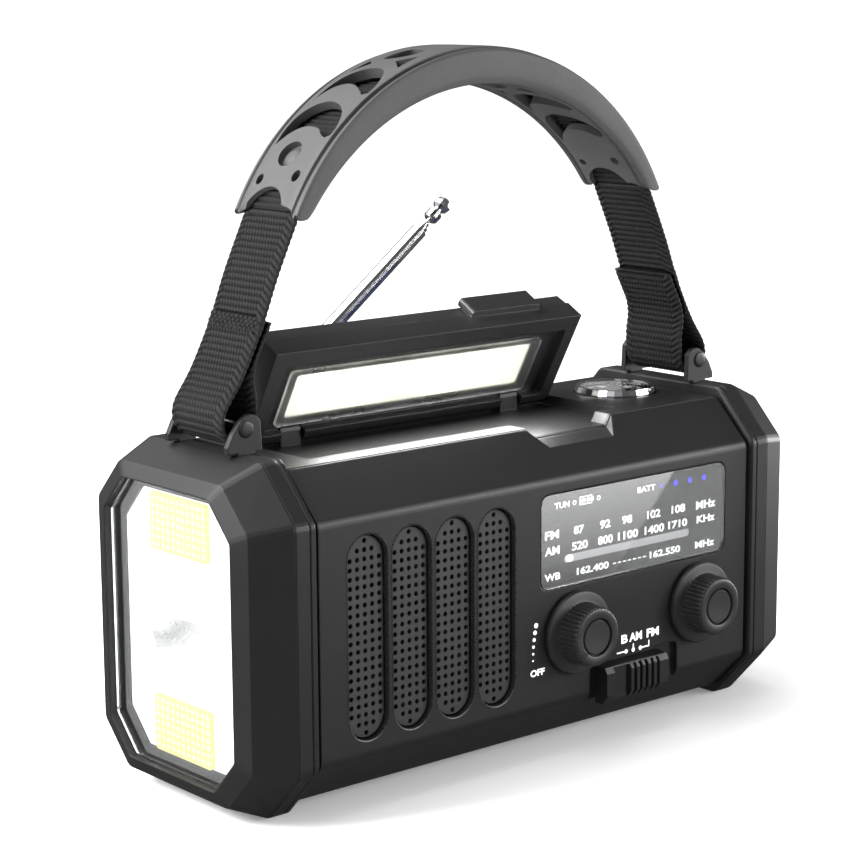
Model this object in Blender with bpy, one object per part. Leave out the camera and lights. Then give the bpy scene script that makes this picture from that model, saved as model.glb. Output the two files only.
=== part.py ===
"""Emergency radio with torch end, flip-up lamp lid, webbing handle and crank.

Axes: X runs along the body from the torch end (-X), -Y is the front with the
dial and speaker, +Z is up, and the radio stands on the two end rings at Z = 0.
Shapes are drawn in millimetres and scaled to metres when they are finished.
"""
import math

import bmesh
import bpy
from mathutils import Matrix

MM = 0.001
GAP = 0.3

# body shell, an octagonal tube along X
BODY_HALF_X = 69.3
BODY_HALF_Y = 32.9
BODY_HALF_Z = 38.75
BODY_CUT_Y = 10.8
BODY_CUT_Z = 10.9
MID_Z = 41.15
WALL = 2.2
BODY_TOP = MID_Z + BODY_HALF_Z
BODY_BOTTOM = MID_Z - BODY_HALF_Z

# end rings and flares
RING_IN_X = 70.3
RING_OUT_X = 76.1
RING_HALF = (33.9, 41.15)
RING_CUT = (11.9, 12.7)
FLARE_OUT_X = 86.0
FLARE_HALF = (29.7, 37.0)
FLARE_CUT = (9.6, 10.0)
LIP_X = 87.6
LIP_HALF = (25.2, 33.7)
LIP_CUT = (8.0, 8.6)
CORNER_R = 2.6

# torch
TORCH_LENS_X = 84.6
TORCH_PANEL_X = 82.0
REFLECTOR_R = 14.6
COB_SIZE = (22.6, 13.6)
COB_RISE = 24.0

# deck with the lamp tray
DECK_HALF_Y = 21.8
DECK_BOTTOM = 75.9
TRAY_FLOOR = 77.4
TRAY_X = (-59.2, 38.8)
TRAY_Y = (-16.2, 19.2)
NOTCH_X = (2.3, 31.0)

# lamp lid, drawn closed about its hinge and then opened
LID_AXIS_Y = 10.9
LID_AXIS_Z = 81.05
LID_X = (-58.4, 38.1)
LID_REACH = 25.9
LID_BACK = 3.3
LID_UNDER = 3.0
LID_OVER = 6.9
LID_OPEN_DEG = 61.1
EAR_X = (-45.0, 25.0)
EAR_HALF = 3.0
PIN_R = 1.0

# dial and front controls
DIAL_X = (-2.7, 61.6)
DIAL_Z = (42.1, 65.8)
DIAL_R = 2.6
SCALE_SLOT_X = (5.6, 49.2)
SCALE_SLOT_Z = (47.9, 49.9)
KNOB_FRONT_Y = -40.6
KNOB_R = 7.3
KNOB_BASE_R = 10.4
VOLUME_XZ = (9.1, 30.5)
TUNING_XZ = (52.0, 30.5)
KNOB_RIBS = 26
DRUM_R = 7.0
POINTER_X = 8.0
LEDGE_Z = (40.4, 41.4)
SWITCH_X = (14.0, 44.6)
SWITCH_Z = (9.4, 21.6)
SLIDER_X = (17.0, 38.4)

# speaker
SLOT_COUNT = 4
SLOT_X0 = -55.5
SLOT_PITCH = 12.95
SLOT_HALF = 5.7
SLOT_Z = (16.9, 64.8)
SPEAKER_XZ = (-36.1, 41.0)
SPEAKER_R = 22.5

# compass
COMPASS_XY = (55.8, 1.5)
COMPASS_R = 10.6
COMPASS_TOP = 81.6

# strap lugs, webbing and grip
BAR_X = 73.3
BAR_Z = 88.0
BAR_R = 1.5
FIN_IN_Y = 10.8
FIN_OUT_Y = 12.3
WEB_HALF_Y = 9.9
WEB_T = 1.5
LOOP_R = 4.5
LOOP_Z = 89.3
GRIP_HALF_Y = 12.0
GRIP_R = 64.7
GRIP_TOP_Z = 106.3
GRIP_LOW_Z = 97.1
GRIP_END_Z = 133.3
STRAP_TOP = (-57.0, 131.9)

# telescopic antenna
MAST_PIVOT = (-46.5, 25.4, 81.3)
MAST_ELEVATION = math.radians(37.3)
MAST_LENGTH = 70.0
MAST_TUBES = ((2.1, 1.72), (1.55, 1.18), (1.02, 0.68), (0.52, 0.0))

# crank and generator train, axes along Y
CRANK_XZ = (14.0, 42.0)
CRANK_ARM = 33.0
GEAR_MODULE = 1.0
GEAR_TEETH = 30
IDLER_SMALL_TEETH = 8
IDLER_LARGE_TEETH = 24
ROTOR_TEETH = 6
IDLER_X = CRANK_XZ[0] - GEAR_MODULE * (GEAR_TEETH + IDLER_SMALL_TEETH) / 2
ROTOR_X = IDLER_X - GEAR_MODULE * (IDLER_LARGE_TEETH + ROTOR_TEETH) / 2
STAGE_ONE_Y = (20.0, 23.0)
STAGE_TWO_Y = (15.5, 18.5)

# rear controls
TORCH_KEY_XZ = (-50.0, 58.0)
ALARM_KEY_XZ = (-50.0, 44.0)
KEY_R = 4.5
PORT_X = (34.0, 58.0)
PORT_Z = (15.5, 27.5)
SCREWS_XZ = ((-64.8, 20.5), (-64.8, 62.0), (64.8, 20.5), (64.8, 62.0))


# ---------------------------------------------------------------- mesh helpers

def clear_scene():
    for old in list(bpy.data.objects):
        bpy.data.objects.remove(old, do_unlink=True)


def add_object(name, verts, faces, origin=(0.0, 0.0, 0.0)):
    """Make one closed mesh object whose origin sits at the given point."""
    mesh = bpy.data.meshes.new(name)
    ox, oy, oz = origin
    local = [(x - ox, y - oy, z - oz) for x, y, z in verts]
    mesh.from_pydata(local, [], faces)
    bm = bmesh.new()
    bm.from_mesh(mesh)
    bmesh.ops.remove_doubles(bm, verts=bm.verts, dist=1e-5)
    bmesh.ops.recalc_face_normals(bm, faces=bm.faces)
    bm.to_mesh(mesh)
    bm.free()
    obj = bpy.data.objects.new(name, mesh)
    obj.location = (ox, oy, oz)
    bpy.context.scene.collection.objects.link(obj)
    return obj


def loft(name, rings, origin=(0.0, 0.0, 0.0)):
    """Skin a stack of equal-length rings and close both ends."""
    count = len(rings[0])
    verts = [p for ring in rings for p in ring]
    faces = []
    for level in range(len(rings) - 1):
        low = level * count
        high = low + count
        for i in range(count):
            j = (i + 1) % count
            faces.append((low + i, low + j, high + j, high + i))
    faces.append(tuple(range(count))[::-1])
    top = (len(rings) - 1) * count
    faces.append(tuple(top + i for i in range(count)))
    return add_object(name, verts, faces, origin)


def lift(outline, axis, value):
    """Turn 2D points into 3D points on the plane where axis = value."""
    if axis == "X":
        return [(value, a, b) for a, b in outline]
    if axis == "Y":
        return [(a, value, b) for a, b in outline]
    return [(a, b, value) for a, b in outline]


def prism(name, outline, axis, low, high, origin=(0.0, 0.0, 0.0)):
    return loft(name, [lift(outline, axis, low), lift(outline, axis, high)], origin)


def box(name, x, y, z, origin=(0.0, 0.0, 0.0)):
    outline = [(x[0], y[0]), (x[1], y[0]), (x[1], y[1]), (x[0], y[1])]
    return prism(name, outline, "Z", z[0], z[1], origin)


def fillet(points, radius, steps=3):
    """Round every corner of a polygon."""
    out = []
    count = len(points)
    for i in range(count):
        px, py = points[i - 1]
        cx, cy = points[i]
        nx, ny = points[(i + 1) % count]
        r = radius[i] if isinstance(radius, (list, tuple)) else radius
        if r <= 0:
            out.append((cx, cy))
            continue
        ax, ay = px - cx, py - cy
        bx, by = nx - cx, ny - cy
        la, lb = math.hypot(ax, ay), math.hypot(bx, by)
        ax, ay, bx, by = ax / la, ay / la, bx / lb, by / lb
        half = math.acos(max(-1.0, min(1.0, ax * bx + ay * by))) / 2
        back = r / math.tan(half)
        mx, my = ax + bx, ay + by
        lm = math.hypot(mx, my)
        reach = r / math.sin(half)
        ox, oy = cx + mx / lm * reach, cy + my / lm * reach
        a0 = math.atan2(cy + ay * back - oy, cx + ax * back - ox)
        a1 = math.atan2(cy + by * back - oy, cx + bx * back - ox)
        turn = (a1 - a0 + math.pi) % (2 * math.pi) - math.pi
        for k in range(steps + 1):
            a = a0 + turn * k / steps
            out.append((ox + r * math.cos(a), oy + r * math.sin(a)))
    return out


def rectangle(a, b, radius=0.0, steps=3):
    corners = [(a[0], b[0]), (a[1], b[0]), (a[1], b[1]), (a[0], b[1])]
    return fillet(corners, radius, steps) if radius else corners


def octagon(half, cut, radius=0.0, steps=3):
    """Octagon in the YZ plane about the body centre line."""
    hy, hz = half
    cy, cz = cut
    points = [(-hy, -hz + cz), (-hy + cy, -hz), (hy - cy, -hz), (hy, -hz + cz),
              (hy, hz - cz), (hy - cy, hz), (-hy + cy, hz), (-hy, hz - cz)]
    points = [(y, z + MID_Z) for y, z in points]
    return fillet(points, radius, steps) if radius else points


def shrink(pair, amount):
    return pair[0] - amount, pair[1] - amount


def lathe(name, profile, axis, centre, steps=40, origin=(0.0, 0.0, 0.0)):
    """Turn (radius, height) points about an axis through the centre.

    A closed profile that never touches the axis gives a ring; a profile that
    starts and ends at radius 0 gives a solid.
    """
    solid = profile[0][0] == 0.0 and profile[-1][0] == 0.0
    verts = []
    index = []
    for r, h in profile:
        row = []
        for i in range(1 if r == 0.0 else steps):
            a = 2 * math.pi * i / steps
            u, v = r * math.cos(a), r * math.sin(a)
            if axis == "X":
                verts.append((centre[0] + h, centre[1] + u, centre[2] + v))
            elif axis == "Y":
                verts.append((centre[0] + u, centre[1] + h, centre[2] + v))
            else:
                verts.append((centre[0] + u, centre[1] + v, centre[2] + h))
            row.append(len(verts) - 1)
        index.append(row)
    faces = []
    last = len(profile) - 1 if solid else len(profile)
    for k in range(last):
        low, high = index[k], index[(k + 1) % len(profile)]
        for i in range(steps):
            j = (i + 1) % steps
            corners = [low[i % len(low)], low[j % len(low)],
                       high[j % len(high)], high[i % len(high)]]
            face = list(dict.fromkeys(corners))
            if len(face) > 2:
                faces.append(tuple(face))
    return add_object(name, verts, faces, origin)


def cylinder(name, radius, axis, centre, low, high, steps=32, origin=(0.0, 0.0, 0.0)):
    profile = [(0.0, low), (radius, low), (radius, high), (0.0, high)]
    return lathe(name, profile, axis, centre, steps, origin)


def combine(obj, tool, operation):
    """Apply one exact Boolean and drop the tool."""
    step = obj.modifiers.new("combine", "BOOLEAN")
    step.operation = operation
    step.solver = "EXACT"
    step.object = tool
    bpy.context.view_layer.update()
    graph = bpy.context.evaluated_depsgraph_get()
    result = bpy.data.meshes.new_from_object(obj.evaluated_get(graph))
    obj.modifiers.clear()
    obj.data = result
    bpy.data.objects.remove(tool, do_unlink=True)
    return obj


def cut(obj, tool):
    return combine(obj, tool, "DIFFERENCE")


def join(obj, tool):
    return combine(obj, tool, "UNION")


def move_origin(obj, origin):
    """Put the object's origin on its joint without moving the shape."""
    ox, oy, oz = origin
    dx, dy, dz = obj.location.x - ox, obj.location.y - oy, obj.location.z - oz
    for v in obj.data.vertices:
        v.co.x += dx
        v.co.y += dy
        v.co.z += dz
    obj.location = (ox, oy, oz)
    return obj


def paint(obj, name, colour, roughness, metallic=0.0, alpha=1.0):
    """Scale a finished shape to metres, give it its material and shade it."""
    obj.data.transform(Matrix.Scale(MM, 4))
    obj.location = obj.location * MM
    material = bpy.data.materials.new(name)
    material.use_nodes = True
    shader = material.node_tree.nodes["Principled BSDF"]
    shader.inputs["Base Color"].default_value = (*colour, 1.0)
    shader.inputs["Roughness"].default_value = roughness
    shader.inputs["Metallic"].default_value = metallic
    shader.inputs["Alpha"].default_value = alpha
    material.diffuse_color = (*colour, alpha)
    obj.data.materials.clear()
    obj.data.materials.append(material)
    for polygon in obj.data.polygons:
        polygon.use_smooth = True
    obj.data.set_sharp_from_angle(angle=math.radians(32))
    return obj


# ---------------------------------------------------------------- materials

def black_abs(obj):
    return paint(obj, obj.name + "_black_abs", (0.018, 0.018, 0.019), 0.48)


def satin_black(obj):
    return paint(obj, obj.name + "_satin_black", (0.012, 0.012, 0.013), 0.38)


def grey_rubber(obj):
    return paint(obj, obj.name + "_grey_tpr", (0.11, 0.11, 0.115), 0.7)


def black_webbing(obj):
    return paint(obj, obj.name + "_nylon_webbing", (0.015, 0.015, 0.016), 0.85)


def clear_plastic(obj):
    return paint(obj, obj.name + "_clear_acrylic", (0.92, 0.95, 0.96), 0.06, 0.0, 0.25)


def frosted_plastic(obj):
    return paint(obj, obj.name + "_frosted_acrylic", (0.95, 0.96, 0.92), 0.35)


def silver_plating(obj):
    return paint(obj, obj.name + "_silver_plating", (0.82, 0.83, 0.85), 0.15, 1.0)


def chrome(obj):
    return paint(obj, obj.name + "_chrome", (0.78, 0.79, 0.8), 0.08, 1.0)


def steel(obj):
    return paint(obj, obj.name + "_steel", (0.55, 0.56, 0.58), 0.3, 1.0)


def phosphor(obj):
    return paint(obj, obj.name + "_yellow_phosphor", (0.86, 0.82, 0.32), 0.5)


def grey_acetal(obj):
    return paint(obj, obj.name + "_grey_acetal", (0.45, 0.46, 0.47), 0.45)


# ---------------------------------------------------------------- body shell

def shell_outline(sign):
    """Open C section: outer skin, then the inner skin back again."""
    y0 = 0.15
    oy, cy, cz = BODY_HALF_Y, BODY_CUT_Y, BODY_CUT_Z
    outer = [(y0, BODY_BOTTOM), (oy - cy, BODY_BOTTOM), (oy, BODY_BOTTOM + cz),
             (oy, BODY_TOP - cz), (oy - cy, BODY_TOP)]
    inner = [(oy - cy, BODY_TOP - 3.1), (oy - WALL, BODY_TOP - cz - 0.9),
             (oy - WALL, BODY_BOTTOM + cz + 0.9), (oy - cy - 0.9, BODY_BOTTOM + WALL),
             (y0, BODY_BOTTOM + WALL)]
    radii = [0, 2.4, 3.0, 3.0, 0.12, 0, 1.0, 1.0, 1.0, 0]
    outline = fillet(outer + inner, radii, 4)
    return [(sign * y, z) for y, z in outline]


def front_shell():
    shell = prism("front_shell", shell_outline(-1), "X", -BODY_HALF_X, BODY_HALF_X)
    face = -BODY_HALF_Y
    for x, z in SCREWS_XZ:
        join(shell, cylinder("post", 3.4, "Y", (x, 0, z), face + 1.0, -0.4, 12))
        cut(shell, cylinder("bore", 1.5, "Y", (x, 0, z), -12.0, 1.0, 8))
    cut(shell, prism("dial_pocket", rectangle(DIAL_X, DIAL_Z, DIAL_R), "Y", face - 2, face + 1.2))
    opening = rectangle((DIAL_X[0] + 1.6, DIAL_X[1] - 1.6), (DIAL_Z[0] + 1.6, DIAL_Z[1] - 1.6), 1.6)
    cut(shell, prism("dial_opening", opening, "Y", face - 1, face + 6))
    for i in range(SLOT_COUNT):
        x = SLOT_X0 + i * SLOT_PITCH
        slot = rectangle((x - SLOT_HALF, x + SLOT_HALF), SLOT_Z, SLOT_HALF - 0.01, 6)
        cut(shell, prism("slot", slot, "Y", face - 2, face + 6))
    for x, z in (VOLUME_XZ, TUNING_XZ):
        cut(shell, cylinder("shaft_hole", 3.6, "Y", (x, 0, z), face - 1, face + 6, 20))
    recess = rectangle(SWITCH_X, SWITCH_Z, 1.6)
    cut(shell, prism("switch_recess", recess, "Y", face - 2, face + 1.4))
    stem = rectangle((SLIDER_X[0] + 4.0, SLIDER_X[1] - 4.0), (14.6, 18.4))
    cut(shell, prism("switch_slot", stem, "Y", face - 1, face + 6))
    cut(shell, finger_notch("notch"))
    ledge = box("dial_ledge", (DIAL_X[0], DIAL_X[1]), (face + 1.6, -28.4), LEDGE_Z)
    join(shell, ledge)
    return black_abs(shell)


def finger_notch(name):
    """Scoop in the top edge that leaves room for a finger under the lid tab."""
    x0, x1 = NOTCH_X
    low = [(x0 + 4.4, -27.2, 75.2), (x1 - 3.6, -27.2, 75.2),
           (x1 - 1.0, -21.0, TRAY_FLOOR), (x0 + 1.4, -21.0, TRAY_FLOOR),
           (x0 + 1.4, -15.0, TRAY_FLOOR), (x1 - 1.0, -15.0, TRAY_FLOOR)]
    high = [(x0 - 1.2, -27.2, 82.0), (x1 + 1.6, -27.2, 82.0),
            (x1 + 1.6, -21.0, 82.0), (x0 - 1.2, -21.0, 82.0),
            (x0 - 1.2, -15.0, 82.0), (x1 + 1.6, -15.0, 82.0)]
    faces = [(0, 1, 2, 3), (3, 2, 5, 4), (6, 9, 8, 7), (9, 10, 11, 8),
             (0, 6, 7, 1), (1, 7, 8, 2), (2, 8, 11, 5), (5, 11, 10, 4),
             (4, 10, 9, 3), (3, 9, 6, 0)]
    return add_object(name, low + high, faces)


def rear_shell():
    shell = prism("rear_shell", shell_outline(1), "X", -BODY_HALF_X, BODY_HALF_X)
    face = BODY_HALF_Y
    for x, z in SCREWS_XZ:
        join(shell, cylinder("post", 4.2, "Y", (x, 0, z), 0.2, face - 1.0, 12))
        cut(shell, cylinder("bore", 1.7, "Y", (x, 0, z), -1.0, 7.0, 8))
        cut(shell, cylinder("counterbore", 3.1, "Y", (x, 0, z), 6.0, face + 2, 12))
    x, z = CRANK_XZ
    cut(shell, cylinder("crank_hole", 3.7, "Y", (x, 0, z), face - 6, face + 2, 20))
    dish = prism("dish", rectangle((x - 41, x + 11), (z - 9, z + 9), 8.9, 5), "Y",
                 face - 0.5, face + 2)
    cut(shell, dish)
    pin = cylinder("idler_pin", 1.4, "Y", (IDLER_X, 0, z), 14.6, face - 1.0, 14)
    join(shell, pin)
    for kx, kz in (TORCH_KEY_XZ, ALARM_KEY_XZ):
        cut(shell, cylinder("key_hole", KEY_R + GAP, "Y", (kx, 0, kz), face - 6, face + 2, 20))
    port = rectangle(PORT_X, PORT_Z, 2.0)
    cut(shell, prism("port_recess", port, "Y", face - 1.5, face + 2))
    mouth = rectangle((PORT_X[0] + 2, PORT_X[1] - 2), (PORT_Z[0] + 2, PORT_Z[1] - 2), 1.0)
    cut(shell, prism("port_mouth", mouth, "Y", face - 6, face))
    seat = rectangle((MAST_PIVOT[0] - 5.2, MAST_PIVOT[0] + 5.2), (21.9, 29.4))
    cut(shell, prism("mast_seat", seat, "Z", 76.0, 84.0))
    hole = cylinder("mast_hole", 1.7, "Z", (MAST_PIVOT[0], MAST_PIVOT[1], 0), 66.0, 80.0, 12)
    cut(shell, hole)
    return black_abs(shell)


def top_deck():
    deck = box("top_deck", (-BODY_HALF_X, BODY_HALF_X), (-DECK_HALF_Y, DECK_HALF_Y),
               (DECK_BOTTOM, BODY_TOP))
    tray = rectangle(TRAY_X, TRAY_Y, 1.0, 3)
    cut(deck, prism("tray", tray, "Z", TRAY_FLOOR, BODY_TOP + 2))
    cut(deck, finger_notch("notch"))
    x, y = COMPASS_XY
    cut(deck, cylinder("compass_seat", COMPASS_R + GAP, "Z", (x, y, 0), 77.6, 82.0, 32))
    for ear in EAR_X:
        outline = [(LID_AXIS_Y - 2.0, DECK_BOTTOM + 0.8), (LID_AXIS_Y + 2.0, DECK_BOTTOM + 0.8)]
        for i in range(9):
            a = math.pi * i / 8
            outline.append((LID_AXIS_Y + 2.0 * math.cos(a), LID_AXIS_Z + 2.0 * math.sin(a)))
        join(deck, prism("ear", outline, "X", ear - EAR_HALF, ear + EAR_HALF))
        cut(deck, cylinder("ear_bore", PIN_R + 0.1, "X", (0, LID_AXIS_Y, LID_AXIS_Z),
                           ear - 5, ear + 5, 12))
    return black_abs(deck)


# ---------------------------------------------------------------- ends

def end_ring(name, side):
    """Octagonal ring with a parting groove, a spigot and the strap lug."""
    sections = ((RING_IN_X, 0.5), (RING_IN_X + 0.5, 0.0), (72.0, 0.0), (72.25, 0.4),
                (72.5, 0.0), (RING_OUT_X, 0.0))
    rings = []
    for x, inset in sections:
        outline = octagon(shrink(RING_HALF, inset), RING_CUT, CORNER_R, 2)
        rings.append(lift(outline, "X", side * x))
    ring = loft(name, rings)
    spigot = octagon((BODY_HALF_Y - WALL - GAP, BODY_HALF_Z - 4.4), (10.5, 10.5))
    join(ring, prism("spigot", spigot, "X", side * 66.5, side * (RING_IN_X + 1.0)))
    hole = octagon((27.6, 30.6), (9.0, 9.0))
    cut(ring, prism("hole", hole, "X", side * 60, side * 80))
    for x, z in SCREWS_XZ:
        if x * side > 0:
            relief = rectangle((-31.5, 33.0), (z - 4.8, z + 4.8))
            cut(ring, prism("relief", relief, "X", side * 60.0, side * (RING_IN_X - 0.2)))
    fin = [(68.9, 82.7), (70.9, 82.7), (70.9, 80.0), (75.6, 80.0), (75.6, 82.7), (78.4, 82.7),
           (78.4, 84.2), (76.9, 87.2), (74.6, 90.0), (72.6, 91.2), (70.6, 91.0), (69.3, 89.6)]
    fin = fillet(fin, [0, 0, 0, 0, 0, 0, 0, 2.0, 2.0, 1.2, 1.2, 0], 2)
    fin = [(side * x, z) for x, z in fin]
    for low, high in ((-FIN_OUT_Y, -FIN_IN_Y), (FIN_IN_Y, FIN_OUT_Y)):
        join(ring, prism("fin", fin, "Y", low, high))
    bore = cylinder("bar_bore", BAR_R - 0.05, "Y", (side * BAR_X, 0, BAR_Z), -15, 15, 14)
    cut(ring, bore)
    return black_abs(ring)


def strap_bar(name, side):
    centre = (side * BAR_X, 0, BAR_Z)
    bar = cylinder(name, BAR_R - 0.06, "Y", centre, -FIN_OUT_Y, FIN_OUT_Y, 14)
    return steel(bar)


def flare(name, side, sections):
    rings = [lift(octagon(half, cuts, CORNER_R, 2), "X", side * x) for x, half, cuts in sections]
    return loft(name, rings)


def torch_bezel():
    sections = ((RING_OUT_X + 0.1, RING_HALF, RING_CUT), (FLARE_OUT_X, FLARE_HALF, FLARE_CUT),
                (LIP_X, LIP_HALF, LIP_CUT))
    bezel = flare("torch_bezel", -1, sections)
    front = octagon(shrink(LIP_HALF, 0.2), LIP_CUT, 1.5, 2)
    cut(bezel, prism("front_bore", front, "X", -90.0, -(TORCH_PANEL_X + 0.5)))
    back = octagon(shrink(LIP_HALF, 2.6), (7.4, 8.0))
    cut(bezel, prism("back_bore", back, "X", -86.0, -70.0))
    return black_abs(bezel)


def end_cap():
    sections = ((RING_OUT_X + 0.1, RING_HALF, RING_CUT), (FLARE_OUT_X, FLARE_HALF, FLARE_CUT),
                (LIP_X, LIP_HALF, LIP_CUT))
    cap = flare("end_cap_right", 1, sections)
    pocket = octagon(shrink(LIP_HALF, 1.6), (7.6, 8.2), 1.5, 2)
    cut(cap, prism("pocket", pocket, "X", LIP_X - 1.4, 92.0))
    back = octagon(shrink(LIP_HALF, 2.6), (7.4, 8.0))
    cut(cap, prism("back_bore", back, "X", 70.0, LIP_X - 4.0))
    return black_abs(cap)


def torch_lens():
    outline = octagon(shrink(LIP_HALF, 0.5), (7.9, 8.5), 1.3, 2)
    return clear_plastic(prism("torch_lens", outline, "X", -(TORCH_LENS_X + 1.2), -TORCH_LENS_X))


def torch_panel():
    rim = octagon(shrink(LIP_HALF, 2.9), (7.3, 7.9))
    panel = prism("torch_panel", rim, "X", -(TORCH_PANEL_X + 0.3), -(TORCH_PANEL_X - 1.2))
    hole = cylinder("hole", REFLECTOR_R + 0.2, "X", (0, 0, MID_Z), -90, -70, 28)
    cut(panel, hole)
    return silver_plating(panel)


def torch_cob(name, sign):
    y = COB_SIZE[0] / 2
    z = MID_Z + sign * COB_RISE
    outline = rectangle((-y, y), (z - COB_SIZE[1] / 2, z + COB_SIZE[1] / 2), 1.0, 3)
    chip = prism(name, outline, "X", -(TORCH_PANEL_X + 1.3), -(TORCH_PANEL_X + 0.4))
    return phosphor(chip)


def torch_reflector():
    outer = REFLECTOR_R - 0.1
    front = -(TORCH_PANEL_X + 0.2)
    inside = []
    for i in range(6):
        r = outer - 0.8 - (outer - 3.8) * i / 5
        inside.append((r, front + 13.2 * (1 - (r / (outer - 0.8)) ** 2)))
    profile = [(outer, front)] + inside
    profile += [(3.0, front + 14.4), (6.0, front + 13.2), (11.0, front + 8.0), (outer, front + 2.0)]
    return silver_plating(lathe("torch_reflector", profile, "X", (0, 0, MID_Z), 28))


def torch_led():
    base = -(TORCH_PANEL_X + 0.2) + 14.6
    led = cylinder("torch_led", 6.0, "X", (0, 0, MID_Z), base, base + 1.6, 16)
    dome = [(0.0, base + 0.1), (1.9, base + 0.1), (1.9, base - 1.6), (1.3, base - 2.6), (0.0, base - 3.0)]
    join(led, lathe("dome", dome, "X", (0, 0, MID_Z), 12))
    return phosphor(led)


# ---------------------------------------------------------------- speaker

def speaker_grille():
    """Plate behind the front with four raised pads that fill the slots."""
    back = -BODY_HALF_Y + WALL + 0.2
    x0 = SLOT_X0 - SLOT_HALF - 0.1
    x1 = SLOT_X0 + (SLOT_COUNT - 1) * SLOT_PITCH + SLOT_HALF + 2.0
    outline = rectangle((x0, x1), (SLOT_Z[0] - 0.9, SLOT_Z[1] + 0.9), 3.0)
    plate = prism("speaker_grille", outline, "Y", back, back + 1.2)
    for i in range(SLOT_COUNT):
        x = SLOT_X0 + i * SLOT_PITCH
        r = SLOT_HALF - 0.25
        pad = rectangle((x - r, x + r), (SLOT_Z[0] + 0.25, SLOT_Z[1] - 0.25), r - 0.01, 6)
        join(plate, prism("pad", pad, "Y", -BODY_HALF_Y + 1.3, back + 0.6))
    return satin_black(plate)


def speaker_basket():
    x, z = SPEAKER_XZ
    y = -29.1
    profile = [(SPEAKER_R, y), (SPEAKER_R, y + 1.6), (14.0, y + 9.0), (13.0, y + 9.4),
               (13.0, y + 16.0), (3.0, y + 16.0), (3.0, y + 14.0), (11.0, y + 14.0),
               (11.0, y + 8.4), (SPEAKER_R - 2.6, y + 1.4), (SPEAKER_R - 2.6, y)]
    return steel(lathe("speaker_basket", profile, "Y", (x, 0, z), 24))


def speaker_cone():
    x, z = SPEAKER_XZ
    y = -28.8
    profile = [(0.0, y + 2.2), (4.0, y + 3.0), (6.2, y + 4.8), (16.6, y), (19.4, y),
               (19.4, y + 0.8), (6.4, y + 6.0), (5.2, y + 12.0), (0.0, y + 12.0)]
    cone = lathe("speaker_cone", profile, "Y", (x, 0, z), 24)
    return paint(cone, "speaker_cone_paper", (0.05, 0.05, 0.05), 0.9)


# ---------------------------------------------------------------- dial

def dial_window():
    outline = rectangle((DIAL_X[0] + GAP, DIAL_X[1] - GAP),
                        (DIAL_Z[0] + GAP, DIAL_Z[1] - GAP), DIAL_R - GAP)
    return clear_plastic(prism("dial_window", outline, "Y", -32.9, -32.1))


def dial_scale():
    outline = rectangle((DIAL_X[0] + 0.4, DIAL_X[1] - 0.4),
                        (DIAL_Z[0] + 0.4, DIAL_Z[1] - 0.4), DIAL_R - 0.4)
    plate = prism("dial_scale", outline, "Y", -32.0, -31.75)
    slot = rectangle(SCALE_SLOT_X, SCALE_SLOT_Z, 0.9, 4)
    cut(plate, prism("slot", slot, "Y", -34, -30))
    return paint(plate, "dial_scale_print", (0.01, 0.01, 0.012), 0.25)


def dial_pointer():
    """Carriage pulled along the dial ledge by the tuning cord, with its flag."""
    x = POINTER_X
    carriage = box("dial_pointer", (x - 3.5, x + 3.5), (-30.3, -28.5), (LEDGE_Z[1] + 0.3, 47.4))
    flag = box("flag", (x - 1.0, x + 1.0), (-31.4, -29.0), (46.6, 51.0))
    join(carriage, flag)
    return paint(carriage, "dial_pointer_white", (0.85, 0.85, 0.84), 0.4)


def led_bar():
    bar = box("battery_light_bar", (37.4, 55.6), (-30.6, -29.2), (60.6, 64.0))
    for i in range(4):
        lamp = cylinder("lamp", 1.0, "Y", (38.9 + 5.15 * i, 0, 62.3), -31.5, -30.0, 8)
        join(bar, lamp)
    return paint(bar, "battery_light_bar_blue", (0.05, 0.08, 0.8), 0.3)


# ---------------------------------------------------------------- knobs

def knob(name, centre, pointer):
    """Ribbed barrel on a round skirt with a dished front.

    The volume knob has a moulded spindle; the tuning knob fits on a shaft.
    """
    x, z = centre
    face = KNOB_FRONT_Y
    skirt = [(0.0, -33.3), (KNOB_BASE_R, -33.3), (KNOB_BASE_R, -34.5), (KNOB_BASE_R - 1.6, -35.0),
             (0.0, -35.0)]
    body = lathe(name, skirt, "Y", (x, 0, z), 32)
    rings = []
    for y, r, depth in ((-34.6, KNOB_R + 0.7, 0.35), (face + 0.5, KNOB_R, 0.35), (face, KNOB_R - 0.8, 0.0)):
        ring = []
        for i in range(KNOB_RIBS * 2):
            a = math.pi * i / KNOB_RIBS
            rr = r - depth * (i % 2)
            ring.append((x + rr * math.cos(a), y, z + rr * math.sin(a)))
        rings.append(ring)
    join(body, loft("barrel", rings))
    if pointer:
        stem = [(0.0, -34.0), (2.3, -34.0), (2.3, -29.6), (3.0, -29.4), (3.0, -22.0), (0.0, -22.0)]
        join(body, lathe("stem", stem, "Y", (x, 0, z), 14))
    else:
        cut(body, cylinder("bore", 2.6, "Y", (x, 0, z), -38.6, -30.0, 14))
    dish = [(0.0, face - 1), (3.9, face - 1), (3.9, face + 0.35), (0.0, face + 0.35)]
    cut(body, lathe("dish", dish, "Y", (x, 0, z), 24))
    if pointer:
        a = math.radians(pointer)
        mark = [(x + math.cos(a) * r - math.sin(a) * s * 0.35, z + math.sin(a) * r + math.cos(a) * s * 0.35)
                for r, s in ((4.3, -1), (6.1, -1), (6.1, 1), (4.3, 1))]
        cut(body, prism("mark", mark, "Y", face - 1, face + 0.3))
    move_origin(body, (x, face, z))
    return satin_black(body)


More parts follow.
